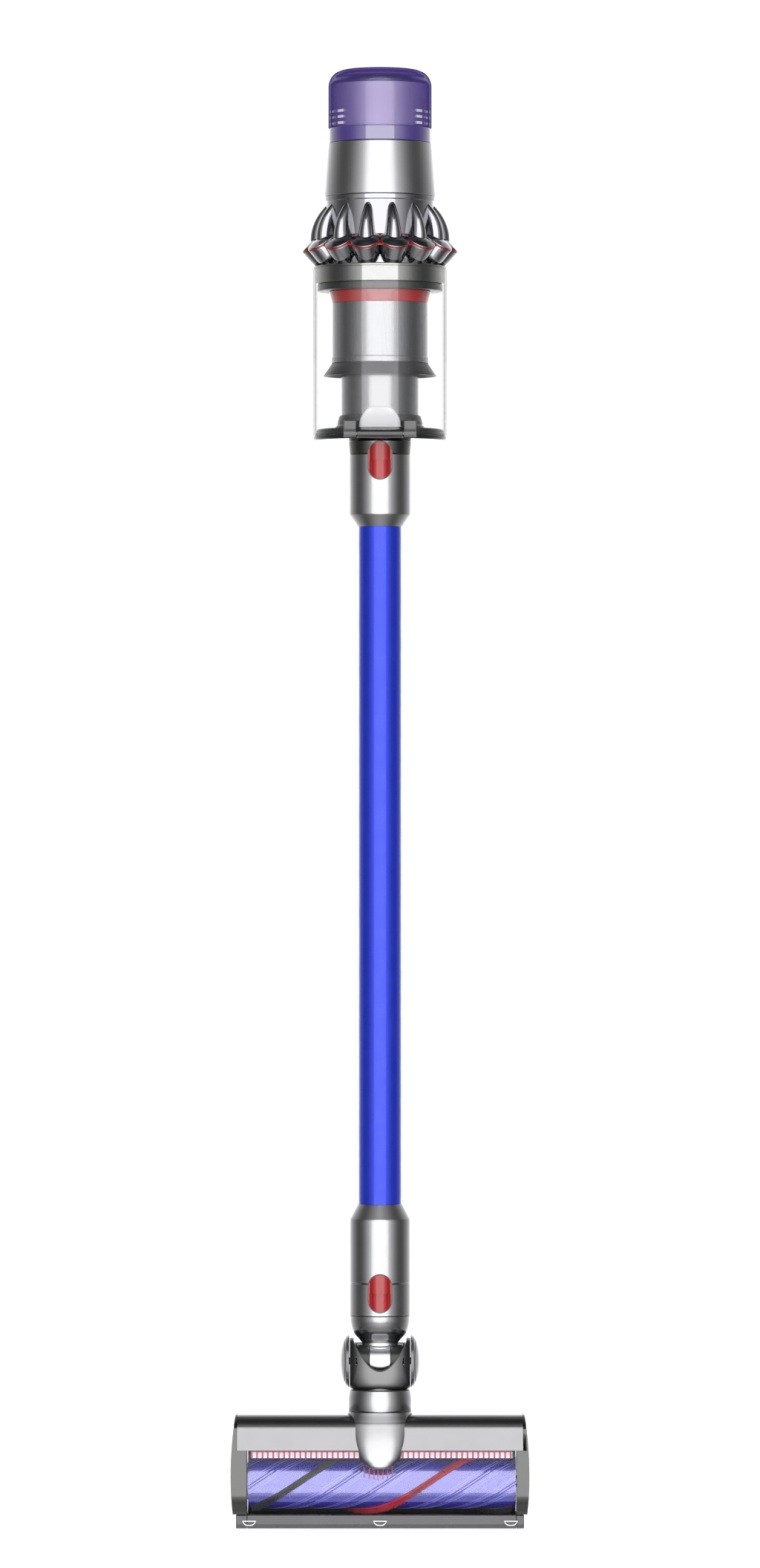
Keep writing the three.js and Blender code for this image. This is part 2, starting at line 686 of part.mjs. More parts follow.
function bin() {
  const group = new THREE.Group();
  group.add(
    piece("bin_shell", binShell(), "clear"),
    piece("bin_door", binDoor(), "clear"),
    piece("door_seal", ring(51.5, 55.6, BIN_BOTTOM, 940, BIG), "rubber"),
    piece("inlet_nozzle", inletNozzle(), "darkGrey"),
    piece("inlet_duct", inletDuct(), "clear"),
    piece("hinge_pin", alongX(rod(PIN_R, -30.5, 30.5, 8)).translate(0, HINGE_Y, BIN_BOTTOM), "steel"),
  );
  return group;
}

// ---------------------------------------------------------------- shroud and cyclones

// A cone round the machine's axis that carries all the rims, and its solid side above or below.
function rimCone(radius, lift) {
  return CYCLONE_RIM_Z + lift - (radius - CYCLONE_OUT) * Math.tan(CYCLONE_TILT);
}

function belowRims(lift) {
  return turned([[0, 1060], [75, 1060], [75, rimCone(75, lift)], [20, rimCone(20, lift)], [0, rimCone(20, lift)]], BIG);
}

function aboveRims(lift) {
  return turned([[0, rimCone(20, lift)], [20, rimCone(20, lift)], [75, rimCone(75, lift)], [75, 1150], [0, 1150]], BIG);
}

function tilted(geometry) {
  return geometry.rotateY(CYCLONE_TILT).translate(CYCLONE_OUT, 0, CYCLONE_RIM_Z);
}

function cycloneCones() {
  const tip = 7.6;
  const core = ring(30, 50, CYCLONE_BOTTOM, 1104, BIG);
  const cone = () => tilted(turned([[0, -17], [tip, -17], [CYCLONE_R, 0], [CYCLONE_R, 3], [0, 3]], CYCLONE_SIDES));
  const floor = rod(90, 1040, CYCLONE_BOTTOM, BIG);
  return cut(join(core, ...around(CYCLONES, 0.5, cone)), aboveRims(-GASKET / 2), floor);
}

// Each cyclone's lid carries a curved outlet duct that leans back against the core.
function cycloneTops() {
  const top = HOUSING_BOTTOM - GAP;
  const core = ring(30, 46.4, 1098, top, BIG);
  const lidProfile = [[0, -3], [CYCLONE_R, -3], [CYCLONE_R, 1.2], [0, 6]];
  const lid = () => tilted(turned(lidProfile, CYCLONE_SIDES));
  const outletSide = [[43, 1102], [60, 1102], [58.3, 1114], [54.9, 1122.9], [46.6, 1133.6], [43, 1134]];
  const outlet = () => barY(polygon(outletSide), -5, 5);
  const rim = ring(45, 47.4, 1134.5, top, BIG);
  const parts = [...around(CYCLONES, 0.5, lid), ...around(CYCLONES, 0.5, outlet)];
  return cut(join(core, rim, ...parts), belowRims(GASKET / 2));
}

function cycloneGasket() {
  const inner = 34;
  const outer = 64.5;
  const half = GASKET / 2 - GAP / 2;
  return turned(
    [[inner, rimCone(inner, -half)], [outer, rimCone(outer, -half)], [outer, rimCone(outer, half)],
      [inner, rimCone(inner, half)]],
    BIG,
  );
}

function binCollar() {
  const inner = 44;
  const profile = [
    [inner, 1064.5], [55.6, 1064.5], [55.6, BIN_TOP + GAP], [57.3, BIN_TOP + GAP], [57.3, 1079.2], [inner, 1079.2],
  ];
  return turned(profile, BIG);
}

function cycloneGroup() {
  const group = new THREE.Group();
  const band = [[38.4, 1048], [41.1, 1048], [43.9, 1057.8], [38.4, 1057.8]];
  const shroud = [[39, 996.4], [41.6, 996.4], [41.6, 1001.3], [40.9, 1001.3], [40.9, 1047.7], [39, 1047.7]];
  const skirt = [[38, 994], [46.8, 985.5], [48.5, 985.5], [41.4, 996.1], [38, 996.1]];
  const ductSeal = [[31.4, 940], [38, 940], [38, 943], [35, 951.6], [31.4, 951.6]];
  group.add(
    piece("cyclone_cones", cycloneCones(), "darkChrome"),
    piece("cyclone_gasket", cycloneGasket(), "red"),
    piece("cyclone_tops", cycloneTops(), "darkChrome"),
    piece("bin_collar", binCollar(), "warmGrey"),
    piece("collar_seal", ring(36, 53.5, 1058.1, 1064.2, BIG), "rubber"),
    piece("shroud_band", turned(band, BIG), "red"),
    piece("shroud_mesh", turned(shroud, BIG), "silver"),
    piece("shroud_skirt", turned(skirt, BIG), "black"),
    piece("inner_duct", ring(31.4, 33.2, 952, 1076, BIG), "silver"),
    piece("duct_seal", turned(ductSeal, BIG), "rubber"),
  );
  return group;
}

// ---------------------------------------------------------------- motor and filter

function motorHousing() {
  const lower = HOUSING_R - 2.4;
  const upper = CAP_R - 2.2;
  const top = FILTER_BOTTOM - 0.1;
  return turned(
    [[16, HOUSING_BOTTOM], [HOUSING_R, HOUSING_BOTTOM], [CAP_R, top], [upper, top], [lower, 1142], [16, 1142]],
    BIG,
  );
}

function motorCan() {
  const inner = 27.5;
  const outer = 30;
  const flange = 43.2;
  const profile = [
    [7, 1175.5], [inner, 1175.5], [inner, 1144.5], [outer, 1144.5], [outer, 1159], [flange, 1159], [flange, 1162],
    [outer, 1162], [outer, 1178], [7, 1178],
  ];
  return turned(profile, 20);
}

function impeller() {
  const hub = turned([[0, 1146], [25, 1146], [25, 1148], [8, 1153], [8, 1160], [3, 1162], [3, 1174], [0, 1174]], 18);
  const blade = () => block(6, 24, -0.6, 0.6, 1147, 1153.5).rotateZ(0.35);
  return join(hub, ...around(9, 0, blade));
}

function pleats() {
  const folds = 18;
  const shape = new THREE.Shape();
  for (let i = 0; i < 2 * folds; i += 1) {
    const radius = i % 2 === 0 ? 39 : 31;
    const angle = (Math.PI * i) / folds;
    shape[i === 0 ? "moveTo" : "lineTo"](radius * Math.cos(angle), radius * Math.sin(angle));
  }
  shape.holes.push(new THREE.Path().absarc(0, 0, 26, 0, 2 * Math.PI, true));
  return extruded(shape, 46, 0, 9).translate(0, 0, 1189.4);
}

// The clear cap over the filter, with three vent slots in each flank.
function filterCap() {
  const bottom = FILTER_BOTTOM + 0.2;
  const inner = CAP_R - 2;
  const shell = turned(
    [[inner, bottom], [CAP_R, bottom], [CAP_R, 1236], [42.4, 1241], [38.6, 1245], [32, 1247.8], [0, TOP], [0, 1248],
      [31.4, 1245.8], [37, 1243], [inner, 1235]],
    BIG,
  );
  const from = THREE.MathUtils.degToRad(12);
  const to = THREE.MathUtils.degToRad(46);
  const slots = [1200.4, 1205.8, 1211.2].flatMap((z) =>
    [1, -1].map((side) => {
      const sector = new THREE.Shape();
      sector.absarc(0, 0, 50, -to, -from);
      sector.absarc(0, 0, 40, -from, -to, true);
      const slot = extruded(sector, 2.4, 0, 2).translate(0, 0, z - 1.2);
      return side > 0 ? slot : slot.rotateZ(-Math.PI + from + to);
    }),
  );
  return cut(shell, ...slots);
}

function motorGroup() {
  const group = new THREE.Group();
  group.add(
    piece("motor_housing", motorHousing(), "nickel"),
    piece("motor_can", motorCan(), "steel"),
    piece("impeller", impeller(), "silver"),
    piece("filter_frame", ring(20, 41.6, 1185.6, 1189, BIG), "darkGrey"),
    piece("filter_pleats", pleats(), "paper"),
    piece("filter_cap", filterCap(), "purple"),
  );
  return group;
}

// ---------------------------------------------------------------- handle and battery

const TRIGGER_FROM = 77;
const TRIGGER_TO = 101;
const SCREW_Z = 1098;

function handleBody() {
  const outer = polygon([
    [48.5, 1138.5], [55, 1135.5], [62.5, 1125], [66, 1118.2], [75, 1117], [BATTERY_FRONT - GAP, 1076],
    [BATTERY_FRONT - GAP, 1119], [84, 1162], [48.5, 1163],
  ]);
  const inner = polygon([
    [52.5, 1143], [58, 1140], [66.5, 1128], [70, 1121.8], [76, 1121.2], [121.5, 1086.5], [121.5, 1118],
    [82, 1157], [52.5, 1158],
  ]);
  const slot = block(-7.4, 7.4, TRIGGER_FROM, TRIGGER_TO + 4, 1085, 1124);
  const screwHole = alongY(rod(2, -135, -118, 10)).translate(0, 0, SCREW_Z);
  return cut(barX(outer, -16, 16, 4), barX(inner, -12, 12), slot, screwHole);
}

function trigger() {
  const outline = [
    [77.6, 1119.5], [78, 1111], [83, 1103], [93, 1094.5], [97.5, 1093], [99.5, 1096], [100.3, 1107], [84, 1119.5],
  ];
  return barX(polygon(outline), -7, 7, 1.2);
}

function batteryPack() {
  const body = barY(roundedRectangle(-33, 33, 1008, 1120, 9), BATTERY_FRONT, BATTERY_BACK, 3, 3);
  const seat = alongY(rod(4.4, -190, -170, 12)).translate(0, 0, SCREW_Z);
  const hole = alongY(rod(2.2, -190, -120, 10)).translate(0, 0, SCREW_Z);
  return cut(body, seat, hole);
}

function batteryScrew() {
  const profile = [[0, -174.5], [4, -174.5], [4, -171], [1.6, -170.4], [1.6, -123], [0, -123]];
  return alongY(turned(profile, 10)).translate(0, 0, SCREW_Z);
}

// The rail that guides the bin, cranked outwards past the cyclones to hang from the handle.
function binRail() {
  const outline = [
    [58.4, 985], [62.4, 985], [62.4, 1066], [72, 1079], [72, 1117.1], [67.6, 1117.8], [67.6, 1080], [58.4, 1068],
  ];
  return barX(polygon(outline), -8, 8);
}

function releaseLever() {
  return barX(polygon([[62.7, 1014], [65, 1012], [68, 1018], [66, 1040], [62.7, 1044]]), -7, 7, 0.8);
}

function handleGroup() {
  const group = new THREE.Group();
  group.add(
    piece("handle_body", handleBody(), "warmGrey"),
    piece("trigger", trigger(), "red"),
    piece("mode_slider", barX(roundedRectangle(55, 67, 1163.3, 1167.3, 1.8), -6, 6, 0.8, 2), "red"),
    piece("battery_pack", batteryPack(), "darkGrey"),
    piece("battery_screw", batteryScrew(), "steel"),
    piece("bin_rail", binRail(), "darkGrey"),
    piece("bin_release_lever", releaseLever(), "red"),
  );
  return group;
}

// ---------------------------------------------------------------- whole machine

const group = new THREE.Group();
group.add(cleanerHead(), neckAndFork(), wand(), bin(), cycloneGroup(), motorGroup(), handleGroup());

export default group;
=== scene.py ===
# Cordless stick vacuum cleaner: the visible model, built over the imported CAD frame.
#
# Outlines are in millimetres, in the frame's axes: +Z up the wand, -Y the side that faces the camera.
# Each piece rides on the body of the CAD node that it stands for.

import json
import random
from collections import namedtuple
from math import copysign, cos, pi, radians, sin, tan

import bmesh
import bpy
from mathutils import Matrix, Vector


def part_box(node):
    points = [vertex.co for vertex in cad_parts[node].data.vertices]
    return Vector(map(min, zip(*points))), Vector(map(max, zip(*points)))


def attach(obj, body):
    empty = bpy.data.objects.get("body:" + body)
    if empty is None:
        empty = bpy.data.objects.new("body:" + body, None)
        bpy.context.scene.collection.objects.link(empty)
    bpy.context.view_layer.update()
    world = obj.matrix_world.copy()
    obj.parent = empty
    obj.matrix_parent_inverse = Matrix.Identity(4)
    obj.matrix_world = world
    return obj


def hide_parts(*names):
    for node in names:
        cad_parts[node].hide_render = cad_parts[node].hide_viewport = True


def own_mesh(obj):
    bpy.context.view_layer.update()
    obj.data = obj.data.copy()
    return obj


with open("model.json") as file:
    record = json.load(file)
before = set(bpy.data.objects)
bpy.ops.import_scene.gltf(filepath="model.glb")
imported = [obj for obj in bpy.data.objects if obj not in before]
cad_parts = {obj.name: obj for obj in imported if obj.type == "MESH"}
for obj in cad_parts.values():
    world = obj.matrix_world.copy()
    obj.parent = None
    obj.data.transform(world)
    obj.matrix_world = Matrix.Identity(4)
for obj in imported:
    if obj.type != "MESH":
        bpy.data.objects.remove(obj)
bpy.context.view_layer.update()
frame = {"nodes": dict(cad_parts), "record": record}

# ---------------------------------------------------------------- driving dimensions

MM = 0.001
SIDES = 96  # round a turned piece
SHARP = 40  # an edge that turns by more degrees than this stays crisp
BEVELLED = 35  # an edge that turns by more degrees than this is eased
CORNER_STEPS = 4

BRUSH_R = 23.5
BRISTLE_R = 28.3
FOOT_TOP = 12.4
HELIX_PITCH = 222.0  # one turn of a bristle row
COVER_ROUND = 17.5
COVER_CENTRE = (-13.1, 79.8)
COVER_END = 2.786  # angle at which the cover's rounding meets its sloping front
COVER_HALF = 122.0
WINDOW_TOP = 68.0
HEAD_TOP = 97.0
HEAD_FRONT = -36.0
SHEET = 2.0
BRUSH_Y = -4.5
BRUSH_Z = 39.8
BRUSH_AXIS = (0, BRUSH_Y, BRUSH_Z)
RED_PHASE = pi * 0.87
BLACK_PHASE = pi * 1.87
LINE_OFFSETS = (-0.26, -0.16, 0.16, 0.26)  # two pairs of fine lines between the rows, in a lighter blue: painted highlight for the bright edges of fine grooves
WINDOW_R = 31.5
SOLE = 21.5
ROLLER_X = 70.0
END_HALF = 127.5
END_BULGE = 3.7
FOOT_HALF = 123.2
DUCT_HOLE = 17.0
PIVOT_Z = 142.2
PIVOT = (0, 0, PIVOT_Z)
NOTCH_HALF = 22.6
CUFF_R = 25.75
BUTTON_HALF = 9.8
BUTTON_HEIGHT = 32.0
HINGE_Y = -61.0
HINGE_Z = 934.0
HOLES_ROUND = 128.0  # rows of holes round the shroud
CYCLONES = 14
CYCLONE_R = 12.6
CYCLONE_TILT = radians(34.7)
CYCLONE_OUT = 55.4
CYCLONE_RIM_Z = 1098.2
VENT_ROWS = (1200.7, 1206.0, 1211.0)
VENT_CELLS = ((-45, -30.5), (-25.5, -13))  # degrees round the cap, ahead of the X axis
SCREW = (0, 0, 1098)

BRIGHTNESS = (  # of the surroundings: degrees from the front, and level
    (0, 1.0), (31.5, 1.0), (32.5, 0.46), (40, 0.36), (50, 0.24), (60, 0.125), (71, 0.065), (84, 0.045),
    (97, 0.06), (113, 0.14), (134, 0.28), (158, 0.5), (180, 0.7),
)
PANEL_STRENGTH = 2.9
BACKDROP_STRENGTH = 1.25
PICTURE_HEIGHT = 1.3432  # metres that the picture takes in, at the wand
PICTURE_MIDDLE = 0.6363

# ---------------------------------------------------------------- the frame's places

Extent = namedtuple("Extent", "x0 x1 y0 y1 z0 z1")


def extent(node_name):
    """A CAD node's box in millimetres."""
    low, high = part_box(node_name)
    return Extent(*(value / MM for pair in zip(low, high) for value in pair))


def middle_of(node_name):
    """The height of a CAD node's middle."""
    part = extent(node_name)
    return (part.z0 + part.z1) / 2


BODY = {node: body for body, nodes in frame["record"]["behaviour"]["bodies"].items() for node in nodes}


# ---------------------------------------------------------------- meshes

def mesh_object(name, vertices, faces, sharp=SHARP):
    mesh = bpy.data.meshes.new(name)
    mesh.from_pydata([Vector(v) * MM for v in vertices], [], faces)
    obj = bpy.data.objects.new(name, mesh)
    bpy.context.scene.collection.objects.link(obj)
    tidy(mesh)
    shade(mesh, sharp)
    return obj


def tidy(mesh):
    """Merges double points and turns all faces outwards."""
    work = bmesh.new()
    work.from_mesh(mesh)
    bmesh.ops.remove_doubles(work, verts=work.verts, dist=1e-7)
    bmesh.ops.dissolve_degenerate(work, edges=work.edges, dist=1e-7)
    bmesh.ops.recalc_face_normals(work, faces=work.faces)
    work.to_mesh(mesh)
    work.free()


def shade(mesh, sharp):
    mesh.shade_smooth()
    mesh.set_sharp_from_angle(angle=radians(sharp))


def settle(obj, sharp=SHARP):
    """Applies obj's modifiers and shades the result."""
    graph = bpy.context.evaluated_depsgraph_get()
    mesh = bpy.data.meshes.new_from_object(obj.evaluated_get(graph))
    obj.modifiers.clear()
    obj.data = mesh
    shade(mesh, sharp)
    weighted = obj.modifiers.new("weighted", "WEIGHTED_NORMAL")
    weighted.keep_sharp = True
    return obj


def carve(obj, *tools, sharp=SHARP):
    """Cuts the tools out of obj."""
    for tool in tools:
        modifier = obj.modifiers.new("cut", "BOOLEAN")
        modifier.operation = "DIFFERENCE"
        modifier.solver = "EXACT"
        modifier.object = tool
    settle(obj, sharp)
    for tool in tools:
        bpy.data.objects.remove(tool)
    return obj


def bevel(obj, width, segments=3):
    modifier = obj.modifiers.new("bevel", "BEVEL")
    modifier.width = width * MM
    modifier.segments = segments
    modifier.limit_method = "ANGLE"
    modifier.angle_limit = radians(BEVELLED)
    return settle(obj)


def merged(first, *others):
    """One object from several, each still a closed body of its own."""
    work = bmesh.new()
    for obj in (first, *others):
        mesh = obj.data.copy()
        mesh.transform(obj.matrix_world)
        work.from_mesh(mesh)
    work.to_mesh(first.data)
    work.free()
    first.matrix_world = Matrix.Identity(4)
    for obj in others:
        bpy.data.objects.remove(obj)
    return first


def rounded(points):
    """A closed outline whose corners are eased. A point is (a, b), or (a, b, how far to ease it)."""
    result = []
    count = len(points)
    for i, point in enumerate(points):
        here = Vector(point[:2])
        if len(point) < 3:
            result.append(here)
            continue
        before = Vector(points[i - 1][:2]) - here
        after = Vector(points[(i + 1) % count][:2]) - here
        start = here + before.normalized() * min(point[2], before.length * 0.45)
        end = here + after.normalized() * min(point[2], after.length * 0.45)
        for step in range(CORNER_STEPS + 1):
            t = step / CORNER_STEPS
            result.append(start * (1 - t) ** 2 + here * 2 * t * (1 - t) + end * t ** 2)
    return result


def turned(name, outline, sides=SIDES, axis="Z", at=(0, 0, 0)):
    """A closed [radius, height] outline turned about an axis through `at`."""
    points = rounded(outline)
    vertices = [
        on_axis(axis, radius * cos(angle), radius * sin(angle), height, at)
        for angle in circle(sides) for radius, height in points
    ]
    return mesh_object(name, vertices, ring_faces(sides, len(points)))


def sleeve(inner, outer, low, high, *ease):
    """The outline of a plain ring or rod to be turned, its two outer corners eased if asked."""
    return [(inner, low), (outer, low, *ease), (outer, high, *ease), (inner, high)]


def on_axis(axis, a, b, height, at):
    place = {"X": (height, a, b), "Y": (a, height, b), "Z": (a, b, height)}[axis]
    return Vector(place) + Vector(at)


def ring_faces(rings, count, closed=True):
    """Faces between rings of `count` points each; the last ring joins the first if closed."""
    faces = []
    for ring in range(rings if closed else rings - 1):
        here = ring * count
        there = ((ring + 1) % rings) * count
        for i in range(count):
            j = (i + 1) % count
            faces.append((here + i, here + j, there + j, there + i))
    return faces


def loft(name, rings, sharp=SHARP):
    """A closed skin over rings of the same number of points, capped at both ends."""
    count = len(rings[0])
    vertices = [point for ring in rings for point in ring]
    faces = ring_faces(len(rings), count, closed=False)
    faces.append(tuple(range(count)))
    faces.append(tuple(range(len(vertices) - count, len(vertices))))
    return mesh_object(name, vertices, faces, sharp)


def bar_x(name, outline, x0, x1, ease=0.0, segments=3):
    """A (y, z) outline that runs along X, with its long edges and ends eased."""
    rings = [[(x, y, z) for y, z in rounded(outline)] for x in (x0, x1)]
    obj = loft(name, rings)
    return bevel(obj, ease, segments) if ease > 0 else obj


def bar_y(name, outline, y0, y1, ease=0.0, segments=3):
    """An (x, z) outline that runs along Y."""
    rings = [[(x, y, z) for x, z in rounded(outline)] for y in (y0, y1)]
    obj = loft(name, rings)
    return bevel(obj, ease, segments) if ease > 0 else obj


def bar_z(name, outline, z0, z1):
    """An (x, y) outline that runs along Z."""
    return loft(name, [[(x, y, z) for x, y in outline] for z in (z0, z1)])


def block(name, x0, x1, y0, y1, z0, z1, ease=0.0):
    """A box between these sides."""
    return bar_x(name, [(y0, z0), (y1, z0), (y1, z1), (y0, z1)], x0, x1, ease)


def arc(centre, radius, start, end, steps=24):
    """Points on an arc, from one angle to another in radians."""
    return [
        (centre[0] + radius * cos(start + (end - start) * i / steps),
         centre[1] + radius * sin(start + (end - start) * i / steps))
        for i in range(steps + 1)
    ]


def circle(count):
    """Angles all the way round."""
    return [2 * pi * i / count for i in range(count)]


def curve_through(points, steps):
    """Points on a smooth curve through rows of numbers."""
    rows = [points[0], *points, points[-1]]
    result = []
    for a, b, c, d in zip(rows, rows[1:], rows[2:], rows[3:]):
        for step in range(steps):
            t = step / steps
            result.append([spline(t, *values) for values in zip(a, b, c, d)])
    result.append(list(points[-1]))
    return result


def spline(t, p, q, r, s):
    """A smooth step from q to r, with p before them and s after them."""
    bend = (2 * p - 5 * q + 4 * r - s) * t * t
    return 0.5 * (2 * q + (r - p) * t + bend + (3 * q - p - 3 * r + s) * t ** 3)


def at_every_cyclone(make):
    """Copies round the machine, merged, with a gap between two of them facing the camera."""
    copies = []
    for i in range(CYCLONES):
        copy = make()
        copy.data.transform(Matrix.Rotation(2 * pi * (i + 0.5) / CYCLONES - pi / 2, 4, "Z"))
        copies.append(copy)
    return merged(*copies)


# ---------------------------------------------------------------- placing pieces

def paint(obj, material):
    obj.data.materials.clear()
    obj.data.materials.append(M[material])


def place(obj, material, *nodes):
    """obj stands for these CAD nodes, in this material."""
    paint(obj, material)
    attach(obj, BODY[nodes[0]])
    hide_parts(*nodes)
    return obj


def ring_piece(node_name, name, material, outline, sides=128):
    """A piece turned about the machine's axis, which stands for one CAD node."""
    place(turned(name, outline, sides), material, node_name)


def trim(obj, material, beside):
    """A small extra piece that goes with a CAD node."""
    paint(obj, material)
    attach(obj, BODY[beside])


def keep(node_name, material):
    """A CAD node that is shown as it is, in this material."""
    paint(frame["nodes"][node_name], material)


# ---------------------------------------------------------------- materials

M = {}  # every material of the object, by name


def node(tree, kind, values=None, **settings):
    """A new shader node with its settings, fed with these values."""
    made = tree.nodes.new(kind)
    for key, value in settings.items():
        setattr(made, key, value)
    feed(tree, made, values or {})
    return made


def feed(tree, made, values):
    """Gives each named input a plain value, or joins it to another node's output."""
    for key, value in values.items():
        if isinstance(value, bpy.types.NodeSocket):
            tree.links.new(value, made.inputs[key])
        else:
            made.inputs[key].default_value = value


def own_coordinates(tree):
    return node(tree, "ShaderNodeTexCoord").outputs["Object"]


def noise(tree, scale, detail=3.0, stretch=(1, 1, 1)):
    """Noise in the object's own coordinates, as a number from 0 to 1."""
    mapping = node(tree, "ShaderNodeMapping", {"Vector": own_coordinates(tree), "Scale": stretch})
    values = {"Vector": mapping.outputs["Vector"], "Scale": scale, "Detail": detail}
    return node(tree, "ShaderNodeTexNoise", values).outputs["Fac"]


def ranged(tree, value, start, end, low, high):
    """`start` to `end` becomes `low` to `high`."""
    values = {"Value": value, "From Min": start, "From Max": end, "To Min": low, "To Max": high}
    return node(tree, "ShaderNodeMapRange", values).outputs["Result"]


def spread(tree, value, low, high):
    """The middle of a noise's range, stretched between two numbers."""
    return ranged(tree, value, 0.3, 0.7, low, high)


def calculate(tree, operation, *values):
    """The result of a sum on one or two values."""
    return node(tree, "ShaderNodeMath", dict(enumerate(values)), operation=operation).outputs[0]


def wave(tree, value, frequency):
    return calculate(tree, "SINE", calculate(tree, "MULTIPLY", value, frequency))


def edge_on(tree, power):
    """0 where a surface faces the eye, rising to 1 where it is seen edge-on."""
    facing = node(tree, "ShaderNodeLayerWeight", {"Blend": 0.5}).outputs["Facing"]
    return calculate(tree, "POWER", facing, power)


def blend_colours(tree, factor, low, high):
    values = {0: factor, 6: (*low, 1), 7: (*high, 1)}
    return node(tree, "ShaderNodeMix", values, data_type="RGBA").outputs[2]


def lit(material, values):
    """Feeds a material's shader."""
    tree = material.node_tree
    feed(tree, tree.nodes["Principled BSDF"], values)
    return material


def finish_of(
    name, colour, roughness, metallic=0.0, coat=0.0, variation=0.05, smudge=0.25, grain=900.0, bump=0.02,
    stretch=(1, 1, 1), coat_ior=1.5, coat_roughness=0.06,
):
    """A moulded, painted or metallised surface: slight colour variation, smudged gloss and a fine grain."""
    material = bpy.data.materials.new(name)
    M[name] = material
    material.use_nodes = True
    tree = material.node_tree
    darker = [c * (1 - variation) for c in colour]
    lighter = [min(1.0, c * (1 + variation)) for c in colour]
    patches = spread(tree, noise(tree, 35, stretch=stretch), 0, 1)
    smudges = noise(tree, 60, 5, stretch)
    relief = {"Strength": bump, "Distance": 0.0004, "Height": noise(tree, grain, 2, stretch)}
    return lit(material, {
        "Base Color": blend_colours(tree, patches, darker, lighter),
        "Metallic": metallic,
        "Roughness": spread(tree, smudges, roughness * (1 - smudge), roughness * (1 + smudge)),
        "Coat Weight": coat,
        "Coat Roughness": coat_roughness,
        "Coat IOR": coat_ior,
        "Normal": node(tree, "ShaderNodeBump", relief).outputs["Normal"],
    })


def chrome(name, colour, roughness):
    return finish_of(name, colour, roughness, 1.0, variation=0.015, smudge=0.08, bump=0.004)


def see_through(name, colour, veil, edge):
    """A clear moulding: a clean reflection face on, and a painted dark line where it is seen edge-on,
    standing in for the light that its thick rim bends away.
    """
    material = finish_of(name, colour, 0.03, smudge=0.1, bump=0.002)
    tree = material.node_tree
    grazing = edge_on(tree, 7.0)
    mirror = ranged(tree, grazing, 0.0, 0.12, 1.0, 0.0)
    return lit(material, {
        "Specular IOR Level": 0.04,
        # Painted dark rim: the moulding turns dark and opaque where it is seen edge-on.
        "Alpha": ranged(tree, grazing, 0.0, 1.0, veil, edge),
        "Metallic": mirror,
        "Base Color": blend_colours(tree, mirror, colour, [0.97, 0.97, 1.0]),
    })


def tinted(name, colour, veil, edge, coat_ior=2.0):
    """A coloured see-through moulding, deeper and without gloss where it is seen edge-on."""
    material = finish_of(name, colour, 0.08, smudge=0.1, bump=0.003, coat_ior=coat_ior, coat_roughness=0.03)
    tree = material.node_tree
    grazing = edge_on(tree, 1.6)
    return lit(material, {
        "Specular IOR Level": 0.0,
        "Alpha": ranged(tree, grazing, 0.0, 1.0, veil, edge),
        "Coat Weight": ranged(tree, grazing, 0.0, 0.25, 1.0, 0.0),
    })


def painted_shade(name, colour):
    """Painted shade: a flat dark surface with no gloss at all, put where a place lies deep in shade."""
    return lit(finish_of(name, colour, 0.95), {"Specular IOR Level": 0.0})


def perforated(name, colour, roughness, pitch, hole):
    """Sheet with rows of fine holes round the machine's axis, painted as dark dots: the holes aren't cut, and
    their dark is painted shade inside them.
    """
    material = finish_of(name, colour, roughness, metallic=1.0, stretch=(1, 1, 0.05))
    tree = material.node_tree
    split = node(tree, "ShaderNodeSeparateXYZ", {0: own_coordinates(tree)}).outputs
    across = wave(tree, calculate(tree, "ARCTAN2", split["Y"], split["X"]), HOLES_ROUND)
    upward = wave(tree, split["Z"], 2 * pi / (pitch * MM))
    # Painted shade: the real hole pattern, drawn as dark dots rather than cut.
    hole_shade = ranged(tree, calculate(tree, "MULTIPLY", across, upward), hole - 0.15, hole + 0.15, 0.0, 1.0)
    return lit(material, {"Base Color": blend_colours(tree, hole_shade, colour, [c * 0.35 for c in colour])})


